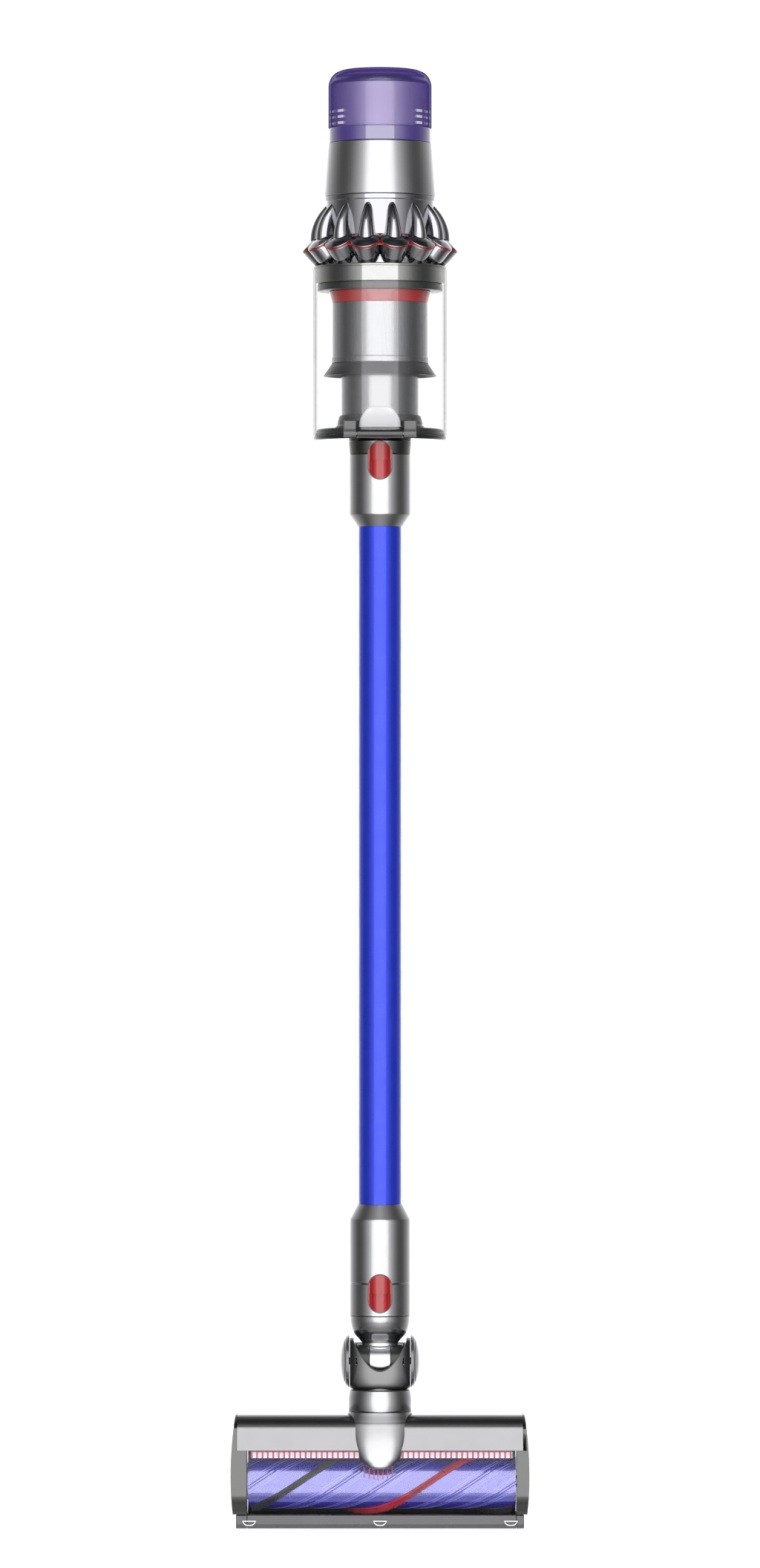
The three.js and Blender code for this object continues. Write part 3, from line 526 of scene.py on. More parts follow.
def make_materials():
    chrome("nickel", (0.37, 0.37, 0.38), 0.25)
    chrome("cover_silver", (0.23, 0.23, 0.235), 0.22)
    chrome("duct_silver", (0.27, 0.27, 0.275), 0.2)
    chrome("dark_chrome", (0.33, 0.33, 0.35), 0.1)
    chrome("collar_chrome", (0.28, 0.28, 0.272), 0.07)
    chrome("smoked_chrome", (0.13, 0.13, 0.122), 0.2)
    perforated("shroud", (0.32, 0.32, 0.33), 0.24, 1.5, 0.55)
    finish_of("blue", (0.014, 0.034, 0.50), 0.3, 0.5, coat=0.3, variation=0.02, bump=0.004)
    finish_of(
        "brush_blue", (0.016, 0.010, 0.34), 0.26, 0.35, coat=1.0, variation=0.02, bump=0.004,
        coat_ior=2.1, coat_roughness=0.08,
    )
    finish_of("painted_groove_glint", (0.24, 0.24, 0.78), 0.3, 0.5, coat=0.5)
    tinted("cap_wall", (0.07, 0.04, 0.24), 0.30, 1.0, 1.8)
    finish_of("purple", (0.045, 0.024, 0.17), 0.12, coat=1.0, bump=0.004, coat_ior=2.1)
    finish_of("lilac", (0.76, 0.66, 0.90), 0.4, 0.5, smudge=0.1, bump=0.004)
    tinted("frosted", (0.62, 0.62, 0.64), 0.45, 0.9)
    finish_of("vent_lilac", (0.80, 0.77, 0.90), 0.4, bump=0.02)
    see_through("clear", (0.03, 0.031, 0.033), 0.04, 1.0)
    see_through("window", (0.14, 0.14, 0.15), 0.012, 0.6)
    finish_of("red", (0.29, 0.003, 0.006), 0.12, coat=0.45, variation=0.02, bump=0.006)
    finish_of("comb_red", (0.40, 0.008, 0.015), 0.3, coat=0.3)
    chrome("end_silver", (0.10, 0.10, 0.098), 0.14)
    chrome("fork_grey", (0.17, 0.17, 0.172), 0.34)
    painted_shade("shade", (0.006, 0.006, 0.007))
    finish_of("warm_grey", (0.075, 0.072, 0.066), 0.2, 0.2, coat=0.6)
    finish_of("dark_grey", (0.05, 0.05, 0.053), 0.38, bump=0.08)
    finish_of("mid_grey", (0.085, 0.085, 0.088), 0.3, bump=0.04)
    finish_of("black", (0.012, 0.012, 0.013), 0.35, bump=0.03)
    finish_of("gloss_black", (0.010, 0.010, 0.011), 0.1, coat=0.6, bump=0.004)
    finish_of("rubber", (0.014, 0.016, 0.016), 0.3, bump=0.02)
    finish_of("steel", (0.30, 0.30, 0.31), 0.28, 1.0, stretch=(1, 1, 0.08))
    finish_of("paper", (0.80, 0.78, 0.86), 0.85, bump=0.2, grain=2600)
    finish_of("red_bristle", (0.50, 0.02, 0.05), 0.5, variation=0.2)
    finish_of("black_bristle", (0.03, 0.03, 0.034), 0.5, variation=0.3)


make_materials()


# ---------------------------------------------------------------- studio

def studio_world():
    """A tall bright panel in front, dark sides and ceiling, a grey floor and a bright back.

    They give long streaks on round metal. The camera itself sees white."""
    world = bpy.data.worlds.new("studio")
    bpy.context.scene.world = world
    world.use_nodes = True
    tree = world.node_tree
    tree.nodes.clear()
    coordinates = node(tree, "ShaderNodeTexCoord").outputs["Generated"]
    taller = node(tree, "ShaderNodeVectorMath", {0: coordinates, 1: (1, 1, 0.6)}, operation="MULTIPLY")
    direction = node(tree, "ShaderNodeVectorMath", {0: taller.outputs[0]}, operation="NORMALIZE")
    split = node(tree, "ShaderNodeSeparateXYZ", {0: direction.outputs[0]}).outputs
    angle = calculate(tree, "ARCCOSINE", calculate(tree, "MULTIPLY", split["Y"], -1))
    ramp = node(tree, "ShaderNodeValToRGB", {0: calculate(tree, "DIVIDE", angle, pi)})
    stops = ramp.color_ramp.elements
    while len(stops) < len(BRIGHTNESS):
        stops.new(0.5)
    for stop, (degrees_round, level) in zip(stops, BRIGHTNESS):
        stop.position = degrees_round / 180
        stop.color = (level, level, level, 1)
    floor_light = ranged(tree, split["Z"], -0.9, -0.6, 0.22, 0.0)
    ceiling_shade = ranged(tree, split["Z"], 0.53, 0.57, 1.0, 0.35)
    walls = calculate(tree, "MULTIPLY", ramp.outputs[0], ceiling_shade)
    around_it = {"Color": calculate(tree, "MAXIMUM", walls, floor_light), "Strength": PANEL_STRENGTH}
    behind_it = {"Color": (1, 1, 1, 1), "Strength": BACKDROP_STRENGTH}
    mix = node(tree, "ShaderNodeMixShader", {
        0: node(tree, "ShaderNodeLightPath").outputs["Is Camera Ray"],
        1: node(tree, "ShaderNodeBackground", around_it).outputs[0],
        2: node(tree, "ShaderNodeBackground", behind_it).outputs[0],
    })
    node(tree, "ShaderNodeOutputWorld", {"Surface": mix.outputs[0]})


def studio_floor():
    """A round white floor under the object, which isn't mirrored in it."""
    vertices = [(900 * cos(a), 900 * sin(a), -1.0) for a in circle(64)]
    floor = mesh_object("floor", vertices, [tuple(range(64))])
    material = bpy.data.materials.new("floor")
    material.use_nodes = True
    floor.data.materials.append(lit(material, {
        "Base Color": (0.9, 0.9, 0.9, 1),
        "Roughness": 0.9,
        "Emission Color": (1, 1, 1, 1),
        "Emission Strength": 0.75,
    }))
    floor.visible_glossy = False


def studio_lights():
    """Two soft side lamps and a top lamp, for the matt pieces."""
    lamps = [("left", (-2.4, -2.2, 1.4), 7), ("right", (2.4, -2.2, 1.4), 7), ("top", (0, 0.4, 3.2), 10)]
    for name, place_at, energy in lamps:
        lamp = bpy.data.lights.new(name, "AREA")
        lamp.energy = energy
        lamp.size = 1.6
        obj = bpy.data.objects.new(name, lamp)
        obj.location = place_at
        aim = Vector((0, 0, 0.65)) - Vector(place_at)
        obj.rotation_euler = aim.to_track_quat("-Z", "Y").to_euler()
        obj.visible_glossy = False
        bpy.context.scene.collection.objects.link(obj)


def studio_camera():
    """A long lens, level, square on to the front."""
    camera = bpy.data.cameras.new("camera")
    camera.lens = 180
    camera.clip_end = 100
    obj = bpy.data.objects.new("camera", camera)
    distance = PICTURE_HEIGHT * camera.lens / camera.sensor_width
    obj.location = (0, -distance, PICTURE_MIDDLE)
    obj.rotation_euler = (pi / 2, 0, 0)
    bpy.context.scene.collection.objects.link(obj)
    bpy.context.scene.camera = obj
    bpy.context.scene.view_settings.view_transform = "Standard"


# ---------------------------------------------------------------- cleaner head

def head_outline(grow=0.0):
    """The head's (y, z) section without its bumper."""
    low = pi + 0.82
    return [
        (-18, 0.5), (17, 0.5), (SOLE + grow, 4), (SOLE + grow, 90), (14, HEAD_TOP + grow),
        *arc(COVER_CENTRE, COVER_ROUND + grow, pi / 2, COVER_END), (HEAD_FRONT - grow, WINDOW_TOP),
        *arc(BRUSH_AXIS[1:], WINDOW_R + grow, pi, low),
    ]


def cover_outline(out=0.0, into=SHEET):
    """The cover's section between two surfaces, `out` outside and `into` inside its outer face."""
    foot = WINDOW_TOP + 0.3
    top = HEAD_TOP + 0.3
    return [
        *arc(COVER_CENTRE, COVER_ROUND + out, pi / 2, COVER_END, 32),
        (HEAD_FRONT - out, foot), (HEAD_FRONT + into, foot),
        *arc(COVER_CENTRE, COVER_ROUND - into, COVER_END, pi / 2, 32),
        (15.2 - into, top - into), (19.4 - into, 93.1 - into), (19.2 + out, 92.1), (14 + out, top + out),
    ]


def rear_cover():
    cover = extent("head_rear_cover")
    shell = bar_x("rear_cover", cover_outline(), cover.x0, cover.x1)
    opening = turned("opening", sleeve(0, DUCT_HOLE + 0.2, 90, 99), 48)
    place(carve(shell, opening), "cover_silver", "head_rear_cover")


def window():
    glass = extent("head_window")
    end = pi + 1.048
    outline = [
        *arc(BRUSH_AXIS[1:], WINDOW_R, pi, end, 32),
        *arc(BRUSH_AXIS[1:], WINDOW_R - SHEET, end, pi, 32),
        (HEAD_FRONT + SHEET, WINDOW_TOP), (HEAD_FRONT, WINDOW_TOP),
    ]
    place(bar_x("window", outline, glass.x0, glass.x1), "window", "head_window")


def end_housing(node_name, name, side):
    """An end plate that bulges outwards, lapped by the rear cover, on a foot like the bumper."""
    housing = extent(node_name)
    bulge = [(side * (END_HALF - END_BULGE * ((z - 46) / 50) ** 2), z) for z in range(-4, 109, 8)]
    body = bar_x(name, head_outline(), housing.x0, housing.x1)
    beyond = bar_y("beyond", [*bulge, (side * 150, 110), (side * 150, -10)], -60, 60)
    foot_room = block("foot_room", -140, 140, -60, 60, -5, FOOT_TOP + 0.3)
    bevel(carve(body, beyond, foot_room), 3.2, 5)
    inner, step = sorted((side * 100, side * (COVER_HALF + 0.3)))
    tools = [bar_x("lap", cover_outline(3, SHEET + 0.3), inner, step)]
    if side > 0:
        tools.append(turned("lock_seat", sleeve(0, 16, 122.5, 130), 64, "X", BRUSH_AXIS))
    place(carve(body, *tools), "end_silver", node_name)
    strip = extent("front_bumper")
    reach = (strip.x1 + 0.3, FOOT_HALF) if side > 0 else (-FOOT_HALF, strip.x0 - 0.3)
    trim(bar_x(name + "_foot", bumper_outline(), *reach, 0.8, 3), "mid_grey", node_name)


def bumper_outline():
    """The bumper's (y, z) section: a front edge and a rear edge with a shallow trough between them."""
    return [
        (-20.5, 4, 1), (-17, 0, 1.5), (15, 0, 1.5), (19.2, 4, 1), (19.2, 12, 0.6), (12, 12, 0.6),
        (7, 10.2, 1), (-12, 10.2, 1), (-15, 11.9, 0.6), (-20.5, 11.9, 1.2),
    ]


def bumper():
    strip = extent("front_bumper")
    bar = bar_x("front_bumper_strip", bumper_outline(), strip.x0, strip.x1, 0.4, 2)
    place(bar, "mid_grey", "front_bumper")
    trim(merged(*[loop(x) for x in (-111.8, 0, 111.8)]), "nickel", "front_bumper")
    # Painted shade: a matt near-black strip over the bumper's top, standing for the shade inside the head
    # under the brush.
    shade_outline = [
        (-14.6, 10.6), (-14.6, 11.3), (3, 11.3), (12, 15.4), (18.6, 20), (18.6, 13), (11.8, 12.6),
        (6.8, 10.6),
    ]
    trim(bar_x("painted_shade_sill", shade_outline, strip.x0, strip.x1), "shade", "front_bumper")


def loop(middle):
    """A flat loop on the face of the bumper, wider at its top."""
    def rim(grow):
        return rounded([
            (middle - 6.4 - grow, 7.2 + grow, 1.5), (middle - 3.6 - grow, 2.8 - grow, 2),
            (middle + 3.6 + grow, 2.8 - grow, 2), (middle + 6.4 + grow, 7.2 + grow, 1.5),
        ])

    return carve(bar_y("loop", rim(0), -21.3, -20.3), bar_y("loop_hole", rim(-0.9), -22, -19))


def soleplate():
    """The sole: a sheet with the brush's mouth between two ribs, and pockets and ears for the rollers."""
    sole = extent("soleplate")
    face = SOLE
    sheet = block("sole", sole.x0, sole.x1, face - SHEET, face, 4, 91.5, 0.5)
    mouth = block("mouth", sole.x0 + 2.4, sole.x1 - 2.4, face - 4, face + 2, 16, 62)
    pockets = [block("pocket", x - 7, x + 7, face - 4, face + 2, 69, 83) for x in (-ROLLER_X, ROLLER_X)]
    carve(sheet, mouth, *pockets)
    ears = [
        block("ear", at - 1.2, at + 1.2, 12, face - 1.5, 72, 80, 0.4)
        for x in (-ROLLER_X, ROLLER_X) for at in (x - 8, x + 8)
    ]
    ribs = [
        block("rib", sole.x0 + 3, sole.x1 - 3, face - 2.4, face - 0.1, z, z + 1.6, 0.3)
        for z in (63.4, 13.2)
    ]
    place(merged(sheet, *ears, *ribs), "dark_grey", "soleplate")


def comb():
    """A comb that strips hair from the brush. Thin tips carry its middle teeth down below the nose."""
    teeth = extent("hair_comb")
    pitch = 4.6
    tooth = 1.4
    parts = [block("comb", teeth.x0, teeth.x1, teeth.y0, teeth.y1, 66.9, teeth.z1, 0.3)]
    count = int((teeth.x1 - teeth.x0 - tooth) / pitch)
    for i in range(count + 1):
        left = teeth.x0 + i * pitch
        parts.append(block("tooth", left, left + tooth, teeth.y0, teeth.y1, teeth.z0, 67.2, 0.3))
    place(merged(*parts), "comb_red", "hair_comb")
    trim(merged(*[comb_tip(x) for x in (-14, -9.5, -5.5, -2, 2, 6, 10)]), "comb_red", "hair_comb")
    backing = block("comb_backing", teeth.x0, teeth.x1, teeth.y1 + 0.2, teeth.y1 + 0.9, 61.5, 67.6)
    trim(backing, "vent_lilac", "hair_comb")


def comb_tip(x):
    """A thin tooth inside the window, just clear of the bristles; the middle ones reach lowest."""
    low = pi - 0.11 - abs(x + 2) * 0.011
    high = pi - 0.5
    outline = arc(BRUSH_AXIS[1:], 29.3, high, low, 8) + arc(BRUSH_AXIS[1:], 28.6, low, high, 8)
    return bar_x("tip", outline, x, x + 0.9)


def nose():
    """The duct's nose: full-sided rings that shift forwards as they come down the cover."""
    rings = [  # radius, height, forwards, depth in front, depth behind
        (3, 52.3, 37, 1.5, 4), (9.4, 53.5, 31, 9, 10), (15.4, 56.6, 26, 15, 12), (22.4, 63, 18, 23.5, 20),
        (28, 75, 12, 26, 26), (31, 88, 6, 26.5, 27), (30, 92, 4, 26.6, 27), (28, 96.5, 1.8, 26.6, 27),
        (27, 99.5, 0, 27, 27),
    ]
    skin = []
    for radius, z, forwards, front, back in curve_through(rings, 6):
        ring = []
        for a in circle(72):
            depth = front if sin(a) > 0 else back
            ring.append((radius * full(cos(a), 0.7), -forwards - depth * full(sin(a), 0.7), z))
        skin.append(ring)
    body = loft("duct_nose", skin, 60)
    head = bar_x("head_section", [(y, z + 0.3) for y, z in head_outline(0.3)], -127, 127)
    bore = turned("bore", sleeve(0, DUCT_HOLE, 80, 101), 48)
    place(carve(body, head, bore), "nickel", "head_nose")


def helix_angle(x, phase):
    """A row's angle about the brush's axis: 0 at the top, then towards the camera."""
    return phase - 2 * pi * x / HELIX_PITCH


def on_brush(x, radius, angle):
    return (x, BRUSH_Y - radius * sin(angle), BRUSH_Z + radius * cos(angle))


def brush_section():
    """(radius, angle) round the brush tube: paired fine grooves, and a wide slot for each row."""
    slot = [(-0.14, 0), (-0.13, -1.2), (0.13, -1.2), (0.14, 0)]
    pair = [(-0.07, 0), (-0.055, -0.5), (-0.04, 0), (0.04, 0), (0.055, -0.5), (0.07, 0)]
    step = pi / 3
    section = []
    for i, marks in enumerate((slot, pair, pair) * 2):
        centre = step * i
        section += [(BRUSH_R + depth, centre + offset) for offset, depth in marks]
        half = marks[-1][0]
        section += [(BRUSH_R, centre + half + (step - 2 * half) * j / 8) for j in range(1, 8)]
    return section


def brush():
    core = extent("brush_core")
    section = brush_section()
    steps = 72
    rings = []
    for i in range(steps + 1):
        x = core.x0 + (core.x1 - 5 - core.x0) * i / steps
        rings.append([on_brush(x, radius, helix_angle(x, RED_PHASE) + angle) for radius, angle in section])
    tube = loft("brush_tube", rings, 25)
    inner = turned("brush_inner", sleeve(0, 20, core.x0 - 1, -16), 64, "X", BRUSH_AXIS)
    carve(tube, inner, sharp=25)
    axle = turned("axle", sleeve(0, 5, 114, core.x1), 48, "X", BRUSH_AXIS)
    place(merged(tube, axle), "brush_blue", "brush_core")
    ends = (core.x0 + 0.5, core.x1 - 5.5)
    # The fine lines stand for real grooves; their lighter blue is a painted highlight where the grooves'
    # edges catch the light.
    phases = [RED_PHASE + pi * i / 3 + offset for i in (1, 2, 4, 5) for offset in LINE_OFFSETS]
    lines = [helical_strip("line", *ends, phase, BRUSH_R - 0.6, BRUSH_R + 0.12, 0.014) for phase in phases]
    trim(merged(*lines), "painted_groove_glint", "brush_core")
    bristle_row("red_row", "brush_bristles", RED_PHASE, "red_bristle", 0.22)
    bristle_row("carbon_row", "brush_carbon_row", BLACK_PHASE, "black_bristle", 0.15)


def helical_strip(name, left, right, phase, inner, outer, half_angle):
    """A strip that winds along the brush between two radii."""
    section = [(inner, -half_angle), (outer, -half_angle), (outer, half_angle), (inner, half_angle)]
    rings = []
    for i in range(73):
        x = left + (right - left) * i / 72
        rings.append([on_brush(x, radius, helix_angle(x, phase) + angle) for radius, angle in section])
    return loft(name, rings)


def bristle_row(name, node_name, phase, material, thickness):
    """A carrier strip with thousands of thin leaning filaments."""
    row = extent(node_name)
    left, right = row.x0 + 0.5, row.x1 - 0.5
    dice = random.Random(7)
    vertices = []
    faces = []
    count = 2400
    for i in range(count):
        x = left + (right - left) * (i + dice.random()) / count
        angle = helix_angle(x, phase) + dice.uniform(-0.1, 0.1)
        lean = dice.uniform(-0.03, 0.03)
        tip = BRISTLE_R - dice.uniform(0, 0.7)
        base = len(vertices)
        for radius, width, turn in ((22.4, thickness, 0), (tip, thickness * 0.6, lean)):
            for side in range(3):
                a = 2 * pi * side / 3
                vertices.append(on_brush(x + width * cos(a), radius, angle + turn + width * sin(a) / radius))
        for side in range(3):
            after = (side + 1) % 3
            faces.append((base + side, base + after, base + 3 + after, base + 3 + side))
        faces.append((base + 3, base + 4, base + 5))
    filaments = mesh_object(name, vertices, faces, 60)
    carrier = helical_strip(name + "_carrier", left, right, phase, 22.5, 24.2, 0.12)
    place(merged(filaments, carrier), material, node_name)


def brush_lock():
    cap = extent("brush_lock")
    face = cap.x1 - 0.5
    outline = [(0, cap.x0), (15.6, cap.x0), (15.6, cap.x1, 1.2), (12.4, cap.x1), (12, face), (0, face)]
    disc = turned("lock_cap", outline, 72, "X", BRUSH_AXIS)
    slot = block("slot", cap.x1 - 1.6, cap.x1 + 2, BRUSH_Y - 9, BRUSH_Y + 9, BRUSH_Z - 1.3, BRUSH_Z + 1.3)
    place(carve(disc, slot), "dark_grey", "brush_lock")


def sole_roller(node_name, name):
    rim = extent(node_name)
    radius = (rim.y1 - rim.y0) / 2
    axis = ((rim.x0 + rim.x1) / 2, (rim.y0 + rim.y1) / 2, middle_of(node_name))
    outline = [
        (0, -9), (1.2, -9), (1.2, -6), (radius - 0.6, -6), (radius, -5, 0.6), (radius, -0.8),
        (radius - 0.5, 0), (radius, 0.8), (radius, 5, 0.6), (radius - 0.6, 6), (1.2, 6), (1.2, 9), (0, 9),
    ]
    place(turned(name, outline, 48, "X", axis), "black", node_name)


def cleaner_head():
    rear_cover()
    window()
    end_housing("end_housing_left", "left_end", -1)
    end_housing("end_housing_right", "right_end", 1)
    bumper()
    soleplate()
    comb()
    nose()
    brush()
    brush_lock()
    sole_roller("sole_roller_left", "left_roller")
    sole_roller("sole_roller_right", "right_roller")
    keep("brush_motor", "steel")
    keep("brush_bearing", "steel")


# ---------------------------------------------------------------- swivel, fork and neck

def swivel_collar():
    collar = extent("swivel_collar")
    radius = collar.x1
    ring_piece("swivel_collar", "swivel_ring", "nickel", [
        (DUCT_HOLE, collar.z0), (radius - 0.4, collar.z0), (radius, collar.z0 + 0.8), (radius, 111, 3),
        (25.9, collar.z1 - 0.4, 0.6), (25.2, collar.z1), (DUCT_HOLE, collar.z1),
    ], SIDES)


def fork():
    """A full-sided oval bowl with a rounded top about the pivot, notched where the neck tips forward."""
    body = extent("fork_body")
    half = 25.9
    deep = 20.0
    wide = 31
    bore = 14.7
    profile = [(23.5, 118.3), (26.2, 119.6), (28.4, 122), (30.2, 126.5), (wide, 134), (wide, 165)]
    rings = []
    for radius, z in curve_through(profile, 4):
        rings.append([(radius * full(cos(a)), radius * deep / wide * full(sin(a)), z) for a in circle(96)])
    bowl = loft("bowl", rings)
    corners = [(-40, PIVOT_Z), (-40, 180), (40, 180), (40, PIVOT_Z)]
    carve(
        bowl,
        bar_x("outside_round", [*arc((0, PIVOT_Z), deep, 0, pi, 48), *corners], -40, 40),
        block("flat", -40, -half, -40, 40, 110, 180),
        block("flat", half, 40, -40, 40, 110, 180),
        turned("hollow", sleeve(0, 16.3, -20.5, 20.5), SIDES, "X", PIVOT),
        bar_y("notch", [*notch_curve(0), (NOTCH_HALF, 185), (-NOTCH_HALF, 185)], -45, 13.4),
        turned("bore", sleeve(0, bore, 87, 132), 64),
    )
    tube = turned("air_tube", [(bore, body.z0), (16.7, body.z0, 0.4), (16.7, 126), (bore, 126)])
    stubs = [
        turned("stub", [(0, x0), (3, x0), (3, x1, 0.4), (0, x1)], 32, "X", PIVOT)
        for x0, x1 in ((17.6, 33.4), (-33.4, -17.6))
    ]
    place(merged(bevel(bowl, 0.5, 2), tube, *stubs), "fork_grey", "fork_body")
    lip = bar_y("notch_lip", [*notch_curve(0.05), *reversed(notch_curve(1.1))], -18.8, -16.4)
    trim(lip, "black", "fork_body")


def full(share, power=0.94):
    """Fills out an ellipse towards its corners."""
    return copysign(abs(share) ** power, share)


def notch_curve(lift):
    """The notch's lower edge, from left to right, raised by `lift`."""
    steps = [NOTCH_HALF * (i / 20 - 1) for i in range(41)]
    return [(x, 134.1 + 0.049 * x * x + lift) for x in steps]


def neck():
    knuckle = extent("neck_knuckle")
    crown = turned("crown", [
        (0, 178), (25.1, 178), (CUFF_R, 181.5, 1.5), (CUFF_R, knuckle.z1 - 0.6, 0.3), (25.2, knuckle.z1),
        (0, knuckle.z1),
    ])
    path = [  # half width, half depth, height
        (15.3, 9, PIVOT_Z), (15.3, 9, 156), (15.9, 9.4, 158.5), (18.2, 11, 161.3), (20.9, 14.5, 164),
        (22.6, 18, 166.5), (24.2, 21.8, 171), (25.1, 24.4, 176), (25.3, 25.2, 178.5),
    ]
    rings = []
    for wide, deep, z in curve_through(path, 5):
        rings.append([(wide * cos(a), deep * sin(a), z) for a in circle(72)])
    stem = loft("stem", rings, 60)
    barrel = turned("barrel", sleeve(0, 15.8, -9.5, 9.5, 1.2), SIDES, "X", PIVOT)
    ring = turned("bead", sleeve(15.2, 17.4, 150.2, 154.6, 1))
    ring.data.transform(Matrix.Diagonal((1, 0.66, 1, 1)))
    place(merged(crown, stem, barrel, ring), "nickel", "neck_knuckle")
    # The sockets beside the barrel are near-black: painted shade for the recesses there.
    shaded_sockets = turned("shaded_sockets", sleeve(0, 14.6, -19.8, 19.8, 1), SIDES, "X", PIVOT)
    trim(shaded_sockets, "rubber", "neck_knuckle")


def wheel(node_name, name, side):
    """A domed wheel with two fine rings turned into its face."""
    rim = extent(node_name)
    radius = rim.z1 - PIVOT_Z
    outline = [
        (3.4, 26.3), (radius - 0.6, 26.3, 0.3), (radius, 27, 0.3), (22.6, 27.7, 0.3), (21.9, 27.9),
        (21.9, 28.5), (21.6, 28.9, 0.3), (19.9, 30.1, 0.3), (19.2, 30.2), (19, 30.7), (18.2, 31.1, 0.5),
        (14, 32.7, 1), (8, 33.9, 1), (3.4, 34.3),
    ]
    if side < 0:
        outline = [(point[0], -point[1], *point[2:]) for point in reversed(outline)]
    place(turned(name, outline, 128, "X", PIVOT), "dark_chrome", node_name)


def capsule(name, middle, grow, y0, y1):
    """A button's upright outline about a height, grown on all sides, that runs along Y."""
    half = BUTTON_HALF + grow
    straight = BUTTON_HEIGHT / 2 - BUTTON_HALF
    top = arc((0, middle + straight), half, 0, pi, 16)
    return bar_y(name, top + arc((0, middle - straight), half, pi, 2 * pi, 16), y0, y1)


def pocketed(obj, button_name):
    """obj with the pocket that a release button sits in."""
    return carve(obj, capsule("pocket", middle_of(button_name), 0.75, -40, -17.2))


def head_cuff():
    cuff = extent("head_cuff")
    seam = 209.2
    radius = cuff.x1
    outline = [
        (13.2, cuff.z0), (radius - 0.4, cuff.z0), (radius, cuff.z0 + 0.6, 0.2), (radius, seam - 0.5, 0.2),
        (radius - 0.4, seam), (15.2, seam), (15.2, cuff.z1), (13.2, cuff.z1),
    ]
    place(pocketed(turned("lower_cuff", outline), "head_button"), "nickel", "head_cuff")
    pocket_shade_ring("lower_pocket_shade", "head_cuff", "head_button")


def button(node_name, name):
    """A capsule whose face curves round an upright axis; its lower half is a step deeper and tighter."""
    part = extent(node_name)
    middle = middle_of(node_name)
    body = capsule(name, middle, 0, part.y0, part.y1)
    upper = bar_z("upper_face", before_arc(part.y0, 12.5), middle, part.z1 + 2)
    lower = bar_z("lower_face", before_arc(part.y0 + 1.9, 11.2), part.z0 - 2, middle)
    carve(body, upper, lower)
    place(bevel(body, 0.6, 3), "red", node_name)


def pocket_shade_ring(name, cuff, button_name):
    """Painted shade: a black ring deep in a button's pocket, the dark line where the pocket falls into shade.
    """
    middle = middle_of(button_name)
    ring = capsule(name, middle, 0.74, -23.4, -17.6)
    trim(carve(ring, capsule("hole", middle, 0.12, -30, -10)), "gloss_black", cuff)


def button_spring(node_name, name):
    """A coil behind a button."""
    seat = extent(node_name)
    middle = (seat.x0 + seat.x1) / 2, (seat.z0 + seat.z1) / 2
    wire = 0.45
    radius = (seat.x1 - seat.x0) / 2 - wire
    turns = 3
    steps = 24 * turns
    length = seat.y1 - seat.y0 - 2 * wire
    rings = []
    for i in range(steps + 1):
        a = 2 * pi * turns * i / steps
        y = seat.y0 + wire + length * i / steps
        ring = []
        for b in circle(10):
            out = radius + wire * cos(b)
            ring.append((middle[0] + out * cos(a), y + wire * sin(b), middle[1] + out * sin(a)))
        rings.append(ring)
    coil = place(loft(name, rings, 60), "steel", node_name)
    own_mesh(coil)


def before_arc(front, radius):
    """An (x, y) outline of the space before a bulging face that reaches `front`."""
    reach = BUTTON_HALF + 1.5
    half = pi / 2 - 0.9
    face = arc((0, front + radius), radius, 1.5 * pi - half, 1.5 * pi + half, 32)
    return [point for point in face if abs(point[0]) <= reach] + [(reach, front - 6), (-reach, front - 6)]


def joint_group():
    swivel_collar()
    fork()
    neck()
    wheel("wheel_left", "left_wheel", -1)
    wheel("wheel_right", "right_wheel", 1)
    head_cuff()
    button("head_button", "lower_button")
    button_spring("head_button_spring", "lower_spring")


# ---------------------------------------------------------------- wand

WAND_SEAT = extent("wand_tube").x1 + 0.3  # radius inside the cuff and the collar


def wand_tube():
    tube = extent("wand_tube")
    ring_piece("wand_tube", "tube", "blue", sleeve(tube.x1 - 1.45, tube.x1, tube.z0, tube.z1))


def wand_cuff():
    cuff = extent("wand_cuff")
    seam = extent("inlet_nozzle").z0 - 0.3
    radius = cuff.x1
    outline = [
        (WAND_SEAT, cuff.z0), (WAND_SEAT + 0.4, cuff.z0, 0.2), (radius, 867, 1.0), (radius, seam - 0.5, 0.2),
        (radius - 0.4, seam), (15.2, seam), (15.2, cuff.z1), (13.2, cuff.z1), (13.2, 893.3),
        (WAND_SEAT, 893.3),
    ]
    place(pocketed(turned("upper_cuff", outline), "wand_button"), "nickel", "wand_cuff")


def wand_collar():
    collar = extent("wand_collar")
    bore = 15.5
    shoulder = 234.7
    outline = [
        (bore, collar.z0), (CUFF_R - 0.4, collar.z0), (CUFF_R, collar.z0 + 0.6, 0.2), (CUFF_R, 263.7, 1.0),
        (WAND_SEAT + 0.4, collar.z1, 0.2), (WAND_SEAT, collar.z1), (WAND_SEAT, shoulder), (bore, shoulder),
    ]
    place(pocketed(turned("lower_collar", outline), "head_button"), "nickel", "wand_collar")


def wand():
    wand_tube()
    wand_cuff()
    wand_collar()
    button("wand_button", "upper_button")
    pocket_shade_ring("upper_pocket_shade", "wand_cuff", "wand_button")
    button_spring("wand_button_spring", "upper_spring")
    keep("wand_wire_duct", "black")


# ---------------------------------------------------------------- bin and its door

def bin_shell():
    shell = extent("bin_shell")
    radius = shell.x1
    ring_piece("bin_shell", "clear_bin", "clear", [
        (radius - 1.5, shell.z1), (radius - 1.5, shell.z0 + 1), (radius - 1.1, 934), (radius - 0.1, 934, 0.3),
        (radius, shell.z1 - 1, 0.3), (radius - 0.4, shell.z1, 0.3),
    ])
    for x0, x1 in ((-31, -20.3), (20.3, 31)):
        barrel = hinge_barrel("clip", x0, x1)
        web = block("clip_web", x0, x1, HINGE_Y + 1, -47.5, 935.5, 945, 0.8)
        trim(merged(barrel, web), "mid_grey", "bin_shell")


def hinge_barrel(name, x0, x1):
    return turned(name, sleeve(1.7, 3.2, x0, x1, 0.5), 32, "X", (0, HINGE_Y, HINGE_Z))


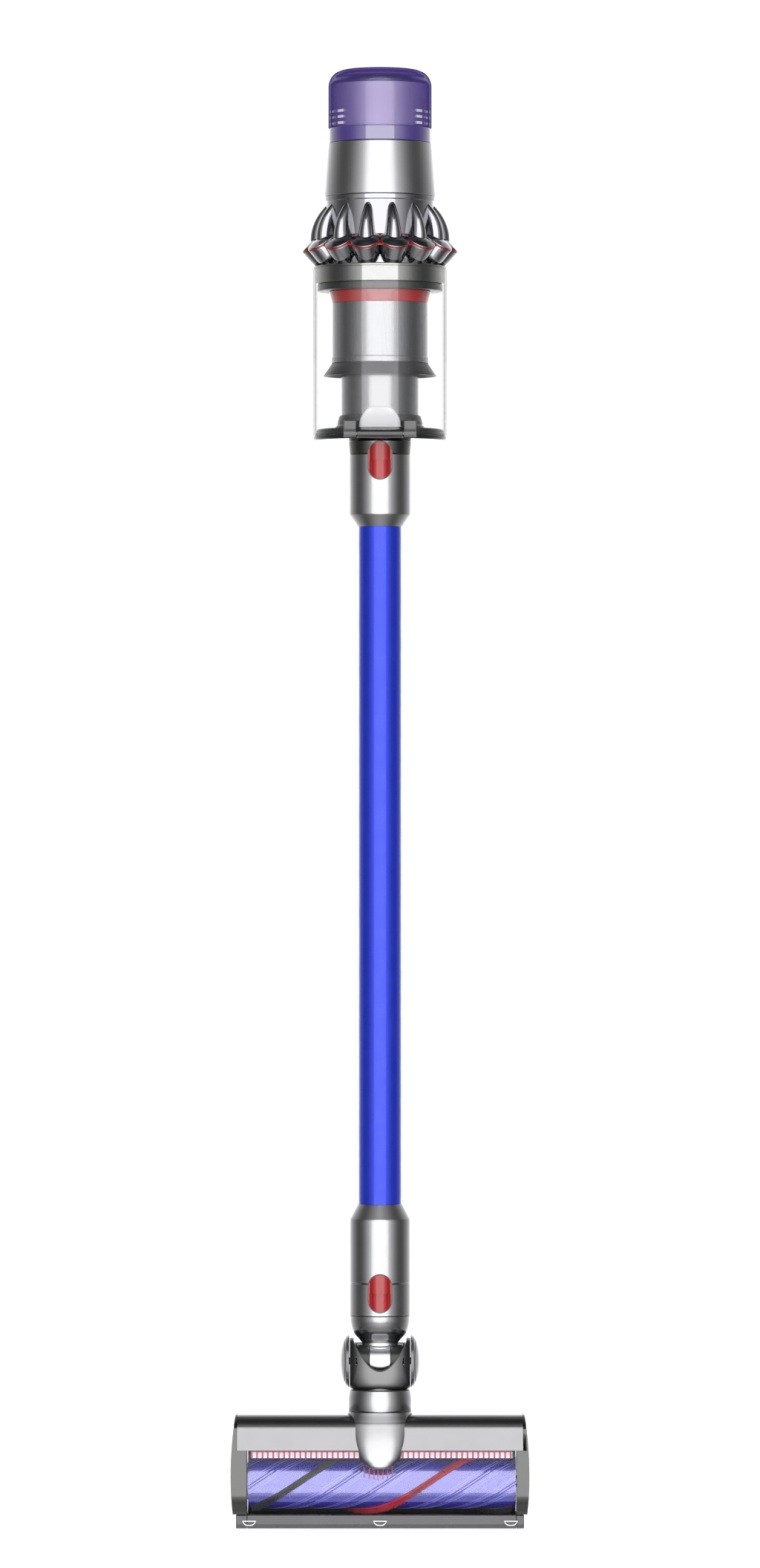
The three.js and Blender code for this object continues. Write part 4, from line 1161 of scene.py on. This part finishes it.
def bin_door():
    door = extent("bin_door")
    radius = 57.5
    outline = [
        (18.4, door.z0), (26, door.z0), (40, door.z0 + 0.9), (radius - 1, door.z0 + 0.4),
        (radius, door.z0 + 1.6, 0.6), (radius, 933.4, 0.4), (radius - 1, 933.7), (18.4, 933.7),
    ]
    plate = turned("door_plate", outline, 128)
    half = 19.7
    barrel = hinge_barrel("door_barrel", -half, half)
    tongue = block("door_tongue", -half, half, HINGE_Y + 1, -54, 930.2, 933.6, 0.5)
    place(merged(plate, barrel, tongue), "gloss_black", "bin_door")


def door_seal():
    seal = extent("door_seal")
    ring_piece("door_seal", "lip_seal", "rubber", [
        (51.5, seal.z0), (seal.x1 - 0.4, seal.z0, 0.3), (seal.x1, 936, 0.5), (54.6, 936.8, 0.4),
        (54.9, 938.2, 0.4), (53.4, seal.z1, 0.6), (51.5, seal.z1 - 0.6, 0.4),
    ], SIDES)


def inlet_nozzle():
    nozzle = extent("inlet_nozzle")
    outline = [
        (15.5, nozzle.z0), (26.1, nozzle.z0, 0.3), (26.9, 929.5, 0.3), (18, 929.5), (18, nozzle.z1),
        (15.5, nozzle.z1),
    ]
    place(pocketed(turned("nozzle", outline), "wand_button"), "smoked_chrome", "inlet_nozzle")


def inlet_duct():
    """A clear dome that turns the air sideways, in a frosted arch."""
    duct = extent("inlet_duct")
    dome = [
        (0, 952.6), (9, 951, 2), (14.6, 945.5, 2), (14.6, duct.z0), (16.5, duct.z0), (16.5, 946.5, 3),
        (11, 953.2, 2), (2, 955, 1), (0.5, duct.z1), (0, duct.z1),
    ]
    flanks = block("flanks", -20, 20, -8, 8, 937, 945)
    place(carve(turned("inlet_dome", dome, 72), flanks), "window", "inlet_duct")
    arch = rounded([(-19, 934.5), (19, 934.5), (17, 948, 4), (10, 957.6, 4), (-10, 957.6, 4), (-17, 948, 4)])
    trim(bar_y("inlet_arch", arch, -44, -41, 1.0), "frosted", "inlet_duct")


def bin_group():
    bin_shell()
    bin_door()
    door_seal()
    inlet_nozzle()
    inlet_duct()
    keep("hinge_pin", "steel")


# ---------------------------------------------------------------- shroud and cyclones

def shroud():
    mesh = extent("shroud_mesh")
    ring_piece("shroud_mesh", "shroud", "shroud", [
        (39, mesh.z0), (41.6, mesh.z0, 0.3), (41.6, 1001.3, 0.4), (40.9, 1001.6), (40.9, mesh.z1),
        (39, mesh.z1),
    ])
    band = extent("shroud_band")
    ring_piece("shroud_band", "red_band", "red", [
        (38.4, band.z0), (41.1, band.z0, 0.4), (43.9, band.z1, 0.4), (38.4, band.z1),
    ])
    skirt = extent("shroud_skirt")
    ring_piece("shroud_skirt", "skirt", "black", [
        (38, 994), (46.8, skirt.z0, 0.3), (48.5, skirt.z0, 0.3), (41.4, skirt.z1, 0.5), (38, skirt.z1),
    ])


def inner_duct():
    bore = 31.4
    duct = extent("inner_duct")
    ring_piece("inner_duct", "centre_duct", "duct_silver", sleeve(bore, 33.2, duct.z0, duct.z1), SIDES)
    seal = extent("duct_seal")
    ring_piece("duct_seal", "foot_seal", "rubber", [
        (bore, seal.z0), (38, seal.z0, 0.5), (38, 942.4, 0.5), (36.4, 943.6), (36.6, 945.2, 0.4),
        (34.9, seal.z1, 0.6), (bore, seal.z1),
    ], SIDES)


def bin_collar():
    ring = extent("collar_seal")
    ring_piece("collar_seal", "upper_seal", "rubber", sleeve(36, 53.5, ring.z0, ring.z1, 0.8), SIDES)
    collar = extent("bin_collar")
    ring_piece("bin_collar", "collar", "collar_chrome", [
        (44, collar.z0), (55.6, collar.z0, 0.5), (55.6, 1077.3), (57.3, 1077.3, 0.3), (57.3, 1079.2, 0.5),
        (44, 1079.2),
    ])


def tilted(obj):
    """Moves a piece turned about its own axis to a cyclone's rim, leaning outwards."""
    move = Matrix.Translation(Vector((CYCLONE_OUT, 0, CYCLONE_RIM_Z)) * MM)
    obj.data.transform(move @ Matrix.Rotation(CYCLONE_TILT, 4, "Y"))
    return obj


def cone():
    outline = [
        (0, -20.5), (8.6, -20.5, 3), (11, -14, 4), (12.2, -5, 3), (CYCLONE_R, -1.6, 0.3),
        (CYCLONE_R, -0.5, 0.3), (0, -0.5),
    ]
    return tilted(turned("cone", outline, 40))


def lid():
    outline = [
        (0, 0.5), (CYCLONE_R, 0.5, 0.3), (CYCLONE_R, 1.5, 0.4), (11.4, 2.0, 0.3), (7, 3.8, 1.5), (0, 4.6),
    ]
    return tilted(turned("lid", outline, 40))


def outlet():
    """A lid's duct: half round, it rises from the lid, leans back against the core and narrows upwards."""
    path = [  # radius, height, half width, half depth
        (52.5, 1098, 7.0, 7.2), (51.8, 1106, 6.5, 7.6), (50.2, 1113.5, 5.7, 7.2), (47.4, 1120.5, 4.8, 6.4),
        (43.6, 1126.8, 3.9, 5.4), (39.6, 1132, 3.0, 4.6),
    ]
    centres = curve_through(path, 5)
    rings = []
    for i, (radius, z, half, depth) in enumerate(centres):
        before = centres[max(i - 1, 0)]
        after = centres[min(i + 1, len(centres) - 1)]
        along = Vector((after[0] - before[0], 0, after[1] - before[1])).normalized()
        outward = Vector((along.z, 0, -along.x))
        centre = Vector((radius, 0, z))
        section = [(depth * cos(a), half * sin(a)) for a in (pi * (step - 12) / 24 for step in range(25))]
        section += [(-depth, half), (-depth, -half)]
        rings.append([centre + outward * out + Vector((0, across, 0)) for out, across in section])
    return loft("outlet", rings, 50)


def cyclones():
    cones = extent("cyclone_cones")
    tops = extent("cyclone_tops")
    lower_core = turned("lower_core", [
        (30, cones.z0 + 0.2), (50, cones.z0 + 0.2, 0.5), (48.6, 1092, 2), (44, 1101), (30, 1101),
    ])
    place(merged(lower_core, at_every_cyclone(cone)), "dark_chrome", "cyclone_cones")
    upper_core = turned("upper_core", [
        (30, 1100), (46.2, 1104), (46.2, tops.z1 - 4.4, 0.4), (47.4, tops.z1 - 4.0, 0.3),
        (47.4, tops.z1, 0.3), (30, tops.z1),
    ], 128)
    parts = [at_every_cyclone(lid), at_every_cyclone(outlet)]
    place(merged(upper_core, *parts), "dark_chrome", "cyclone_tops")
    gasket()


def gasket():
    """The red seal in the seam between cones and lids: a disc at each rim on a conical web."""
    def disc():
        return tilted(turned("disc", sleeve(0, CYCLONE_R + 0.5, -0.45, 0.45, 0.2), 48))

    def on_web(radius, lift):
        return radius, CYCLONE_RIM_Z + lift - (radius - CYCLONE_OUT) * tan(CYCLONE_TILT)

    web = turned("web", [on_web(42, -0.4), on_web(60.5, -0.4), on_web(60.5, 0.4), on_web(42, 0.4)])
    place(merged(web, at_every_cyclone(disc)), "red", "cyclone_gasket")


# ---------------------------------------------------------------- motor and filter

def motor():
    housing = extent("motor_housing")
    radius = housing.x1
    top = 44.2
    ring_piece("motor_housing", "housing", "nickel", [
        (16, housing.z0), (radius - 0.5, housing.z0), (radius, housing.z0 + 0.6, 0.2),
        (top, housing.z1 - 0.5, 0.2), (top - 0.5, housing.z1), (42, housing.z1), (45.1, 1142), (16, 1142),
    ])
    keep("motor_can", "steel")
    keep("impeller", "cover_silver")
    keep("filter_frame", "dark_grey")


def filter_cap():
    """A clear purple cap with vents in each flank, on a solid purple grip band."""
    cap = extent("filter_cap")
    radius = cap.x1
    seam = 1197.6
    wall = [
        (radius - 2, seam), (radius, seam), (radius, 1236, 3), (42.2, 1241, 2), (38.6, 1245, 2),
        (32, 1247.8, 4), (0, cap.z1), (0, 1248), (31.4, 1245.8), (37, 1243), (radius - 2, 1235),
    ]
    shell = turned("cap", wall, 128)
    slots = [(z, side, cell) for z in VENT_ROWS for side in (1, -1) for cell in VENT_CELLS]
    carve(shell, *[vent(z, side, cell, 40, 50, 1.3) for z, side, cell in slots])
    place(shell, "cap_wall", "filter_cap")
    lips = [vent(z, side, cell, 41.2, 41.8, 1.3) for z, side, cell in slots]
    trim(merged(*lips), "vent_lilac", "filter_cap")
    band = [
        (radius - 2.4, cap.z0), (radius - 0.3, cap.z0), (radius, cap.z0 + 0.5, 0.2),
        (radius, seam - 0.4, 0.3), (radius - 2.4, seam),
    ]
    mark = rounded([(-4.8, 1190, 1), (6.7, 1190, 1), (6.7, 1195, 1), (-4.8, 1195, 1)])
    notch = bar_y("notch", mark, -50, 0.7 - radius)
    trim(carve(turned("cap_band", band, 128), notch), "purple", "filter_cap")


def filter_cover():
    """A lilac sleeve and a black lid round the pleats."""
    sides = [(39.7, 1188), (40.3, 1188), (40.3, 1235.2, 0.4), (39.7, 1235.2)]
    trim(turned("filter_sleeve", sides, 128), "lilac", "filter_pleats")
    top = [(0, 1235.6), (40.6, 1235.6), (41.2, 1237.5), (37.6, 1241.6, 1), (31, 1244.2, 2), (0, 1244.6)]
    trim(turned("filter_top", top), "gloss_black", "filter_pleats")


def vent(z, side, cell, inner, outer, half):
    """A slot through a flank of the cap, between two angles in degrees."""
    start, end = (radians(angle) for angle in cell)
    outline = arc((0, 0), outer, start, end, 8) + arc((0, 0), inner, end, start, 8)
    return bar_z("vent", [(x * side, y) for x, y in outline], z - half, z + half)


def pleated_filter():
    pleats = extent("filter_pleats")
    folds = 60
    inside = (30, 30)
    zigzag = (39.4, 35.2)
    vertices = [
        (radii[i % 2] * cos(angle), radii[i % 2] * sin(angle), z)
        for radii, z in ((inside, pleats.z0), (zigzag, pleats.z0), (zigzag, pleats.z1), (inside, pleats.z1))
        for i, angle in enumerate(circle(2 * folds))
    ]
    place(mesh_object("pleats", vertices, ring_faces(4, 2 * folds), 20), "paper", "filter_pleats")


# ---------------------------------------------------------------- handle and battery

def handle():
    outer = [
        (48.5, 1138.5, 2), (55, 1135.5, 6), (62.5, 1125, 6), (66, 1118.2, 5), (75, 1117, 4), (129.4, 1076, 4),
        (129.4, 1119, 8), (84, 1162, 14), (48.5, 1163, 3),
    ]
    body = bar_x("handle", outer, -16, 16, 7, 6)
    slot = block("slot", -7.4, 7.4, 77, 105, 1085, 1117)
    place(carve(body, slot), "warm_grey", "handle_body")


def trigger():
    outline = [
        (77.6, 1118.5), (78, 1111, 3), (83, 1103, 3), (93, 1094.5, 2), (97.5, 1093, 1.5), (99.5, 1096, 1.5),
        (100.3, 1107, 3), (84, 1118.5),
    ]
    place(bar_x("trigger_blade", outline, -7, 7, 1.8, 4), "red", "trigger")


def mode_slider():
    slider = extent("mode_slider")
    outline = [
        (slider.y0, slider.z0), (slider.y1, slider.z0), (slider.y1, slider.z1, 1.5), (62.5, 1166.6, 1),
        (61, 1165.8, 1), (59.5, 1166.6, 1), (slider.y0, slider.z1, 1.5),
    ]
    place(bar_x("slider", outline, slider.x0, slider.x1, 0.9, 3), "red", "mode_slider")


def battery():
    pack = extent("battery_pack")
    ease = 9
    corners = ((pack.x0, pack.z0), (pack.x1, pack.z0), (pack.x1, pack.z1), (pack.x0, pack.z1))
    outline = [(x, z, ease) for x, z in corners]
    body = bar_y("battery_body", outline, pack.y0, pack.y1, 4, 5)
    seat = turned("seat", sleeve(0, 4.6, 172, 182), 32, "Y", SCREW)
    vents = [block("groove", -22, 22, pack.y1 - 1, pack.y1 + 4, z, z + 1.6) for z in (1022, 1027, 1032, 1037)]
    place(carve(body, seat, *vents), "dark_grey", "battery_pack")


def battery_screw():
    outline = [(0, 123), (1.6, 123), (1.6, 170.4), (4, 171), (4, 174.5, 0.6), (0, 174.5)]
    screw = turned("screw_head", outline, 32, "Y", SCREW)
    middle = SCREW[2]
    cross = [block("cross", -a, a, 173.4, 176, middle - b, middle + b) for a, b in ((2.4, 0.45), (0.45, 2.4))]
    place(carve(screw, *cross), "steel", "battery_screw")


def rail():
    outline = [
        (58.4, 985, 1), (62.4, 985, 1), (62.4, 1066, 4), (72, 1079, 4), (72, 1117.1), (67.6, 1117.8),
        (67.6, 1080, 4), (58.4, 1068, 4),
    ]
    place(bar_x("guide_rail", outline, -8, 8, 1.0, 3), "dark_grey", "bin_rail")
    lever = [(62.7, 1014, 0.6), (65, 1012, 1), (68, 1018, 2), (66, 1040, 2), (62.7, 1044, 0.6)]
    place(bar_x("lever", lever, -7, 7, 1.0, 3), "red", "bin_release_lever")


# ---------------------------------------------------------------- whole machine

studio_world()
studio_floor()
studio_lights()
studio_camera()

cleaner_head()
joint_group()
wand()
bin_group()
shroud()
inner_duct()
bin_collar()
cyclones()
motor()
filter_cap()
filter_cover()
pleated_filter()
handle()
trigger()
mode_slider()
battery()
battery_screw()
rail()
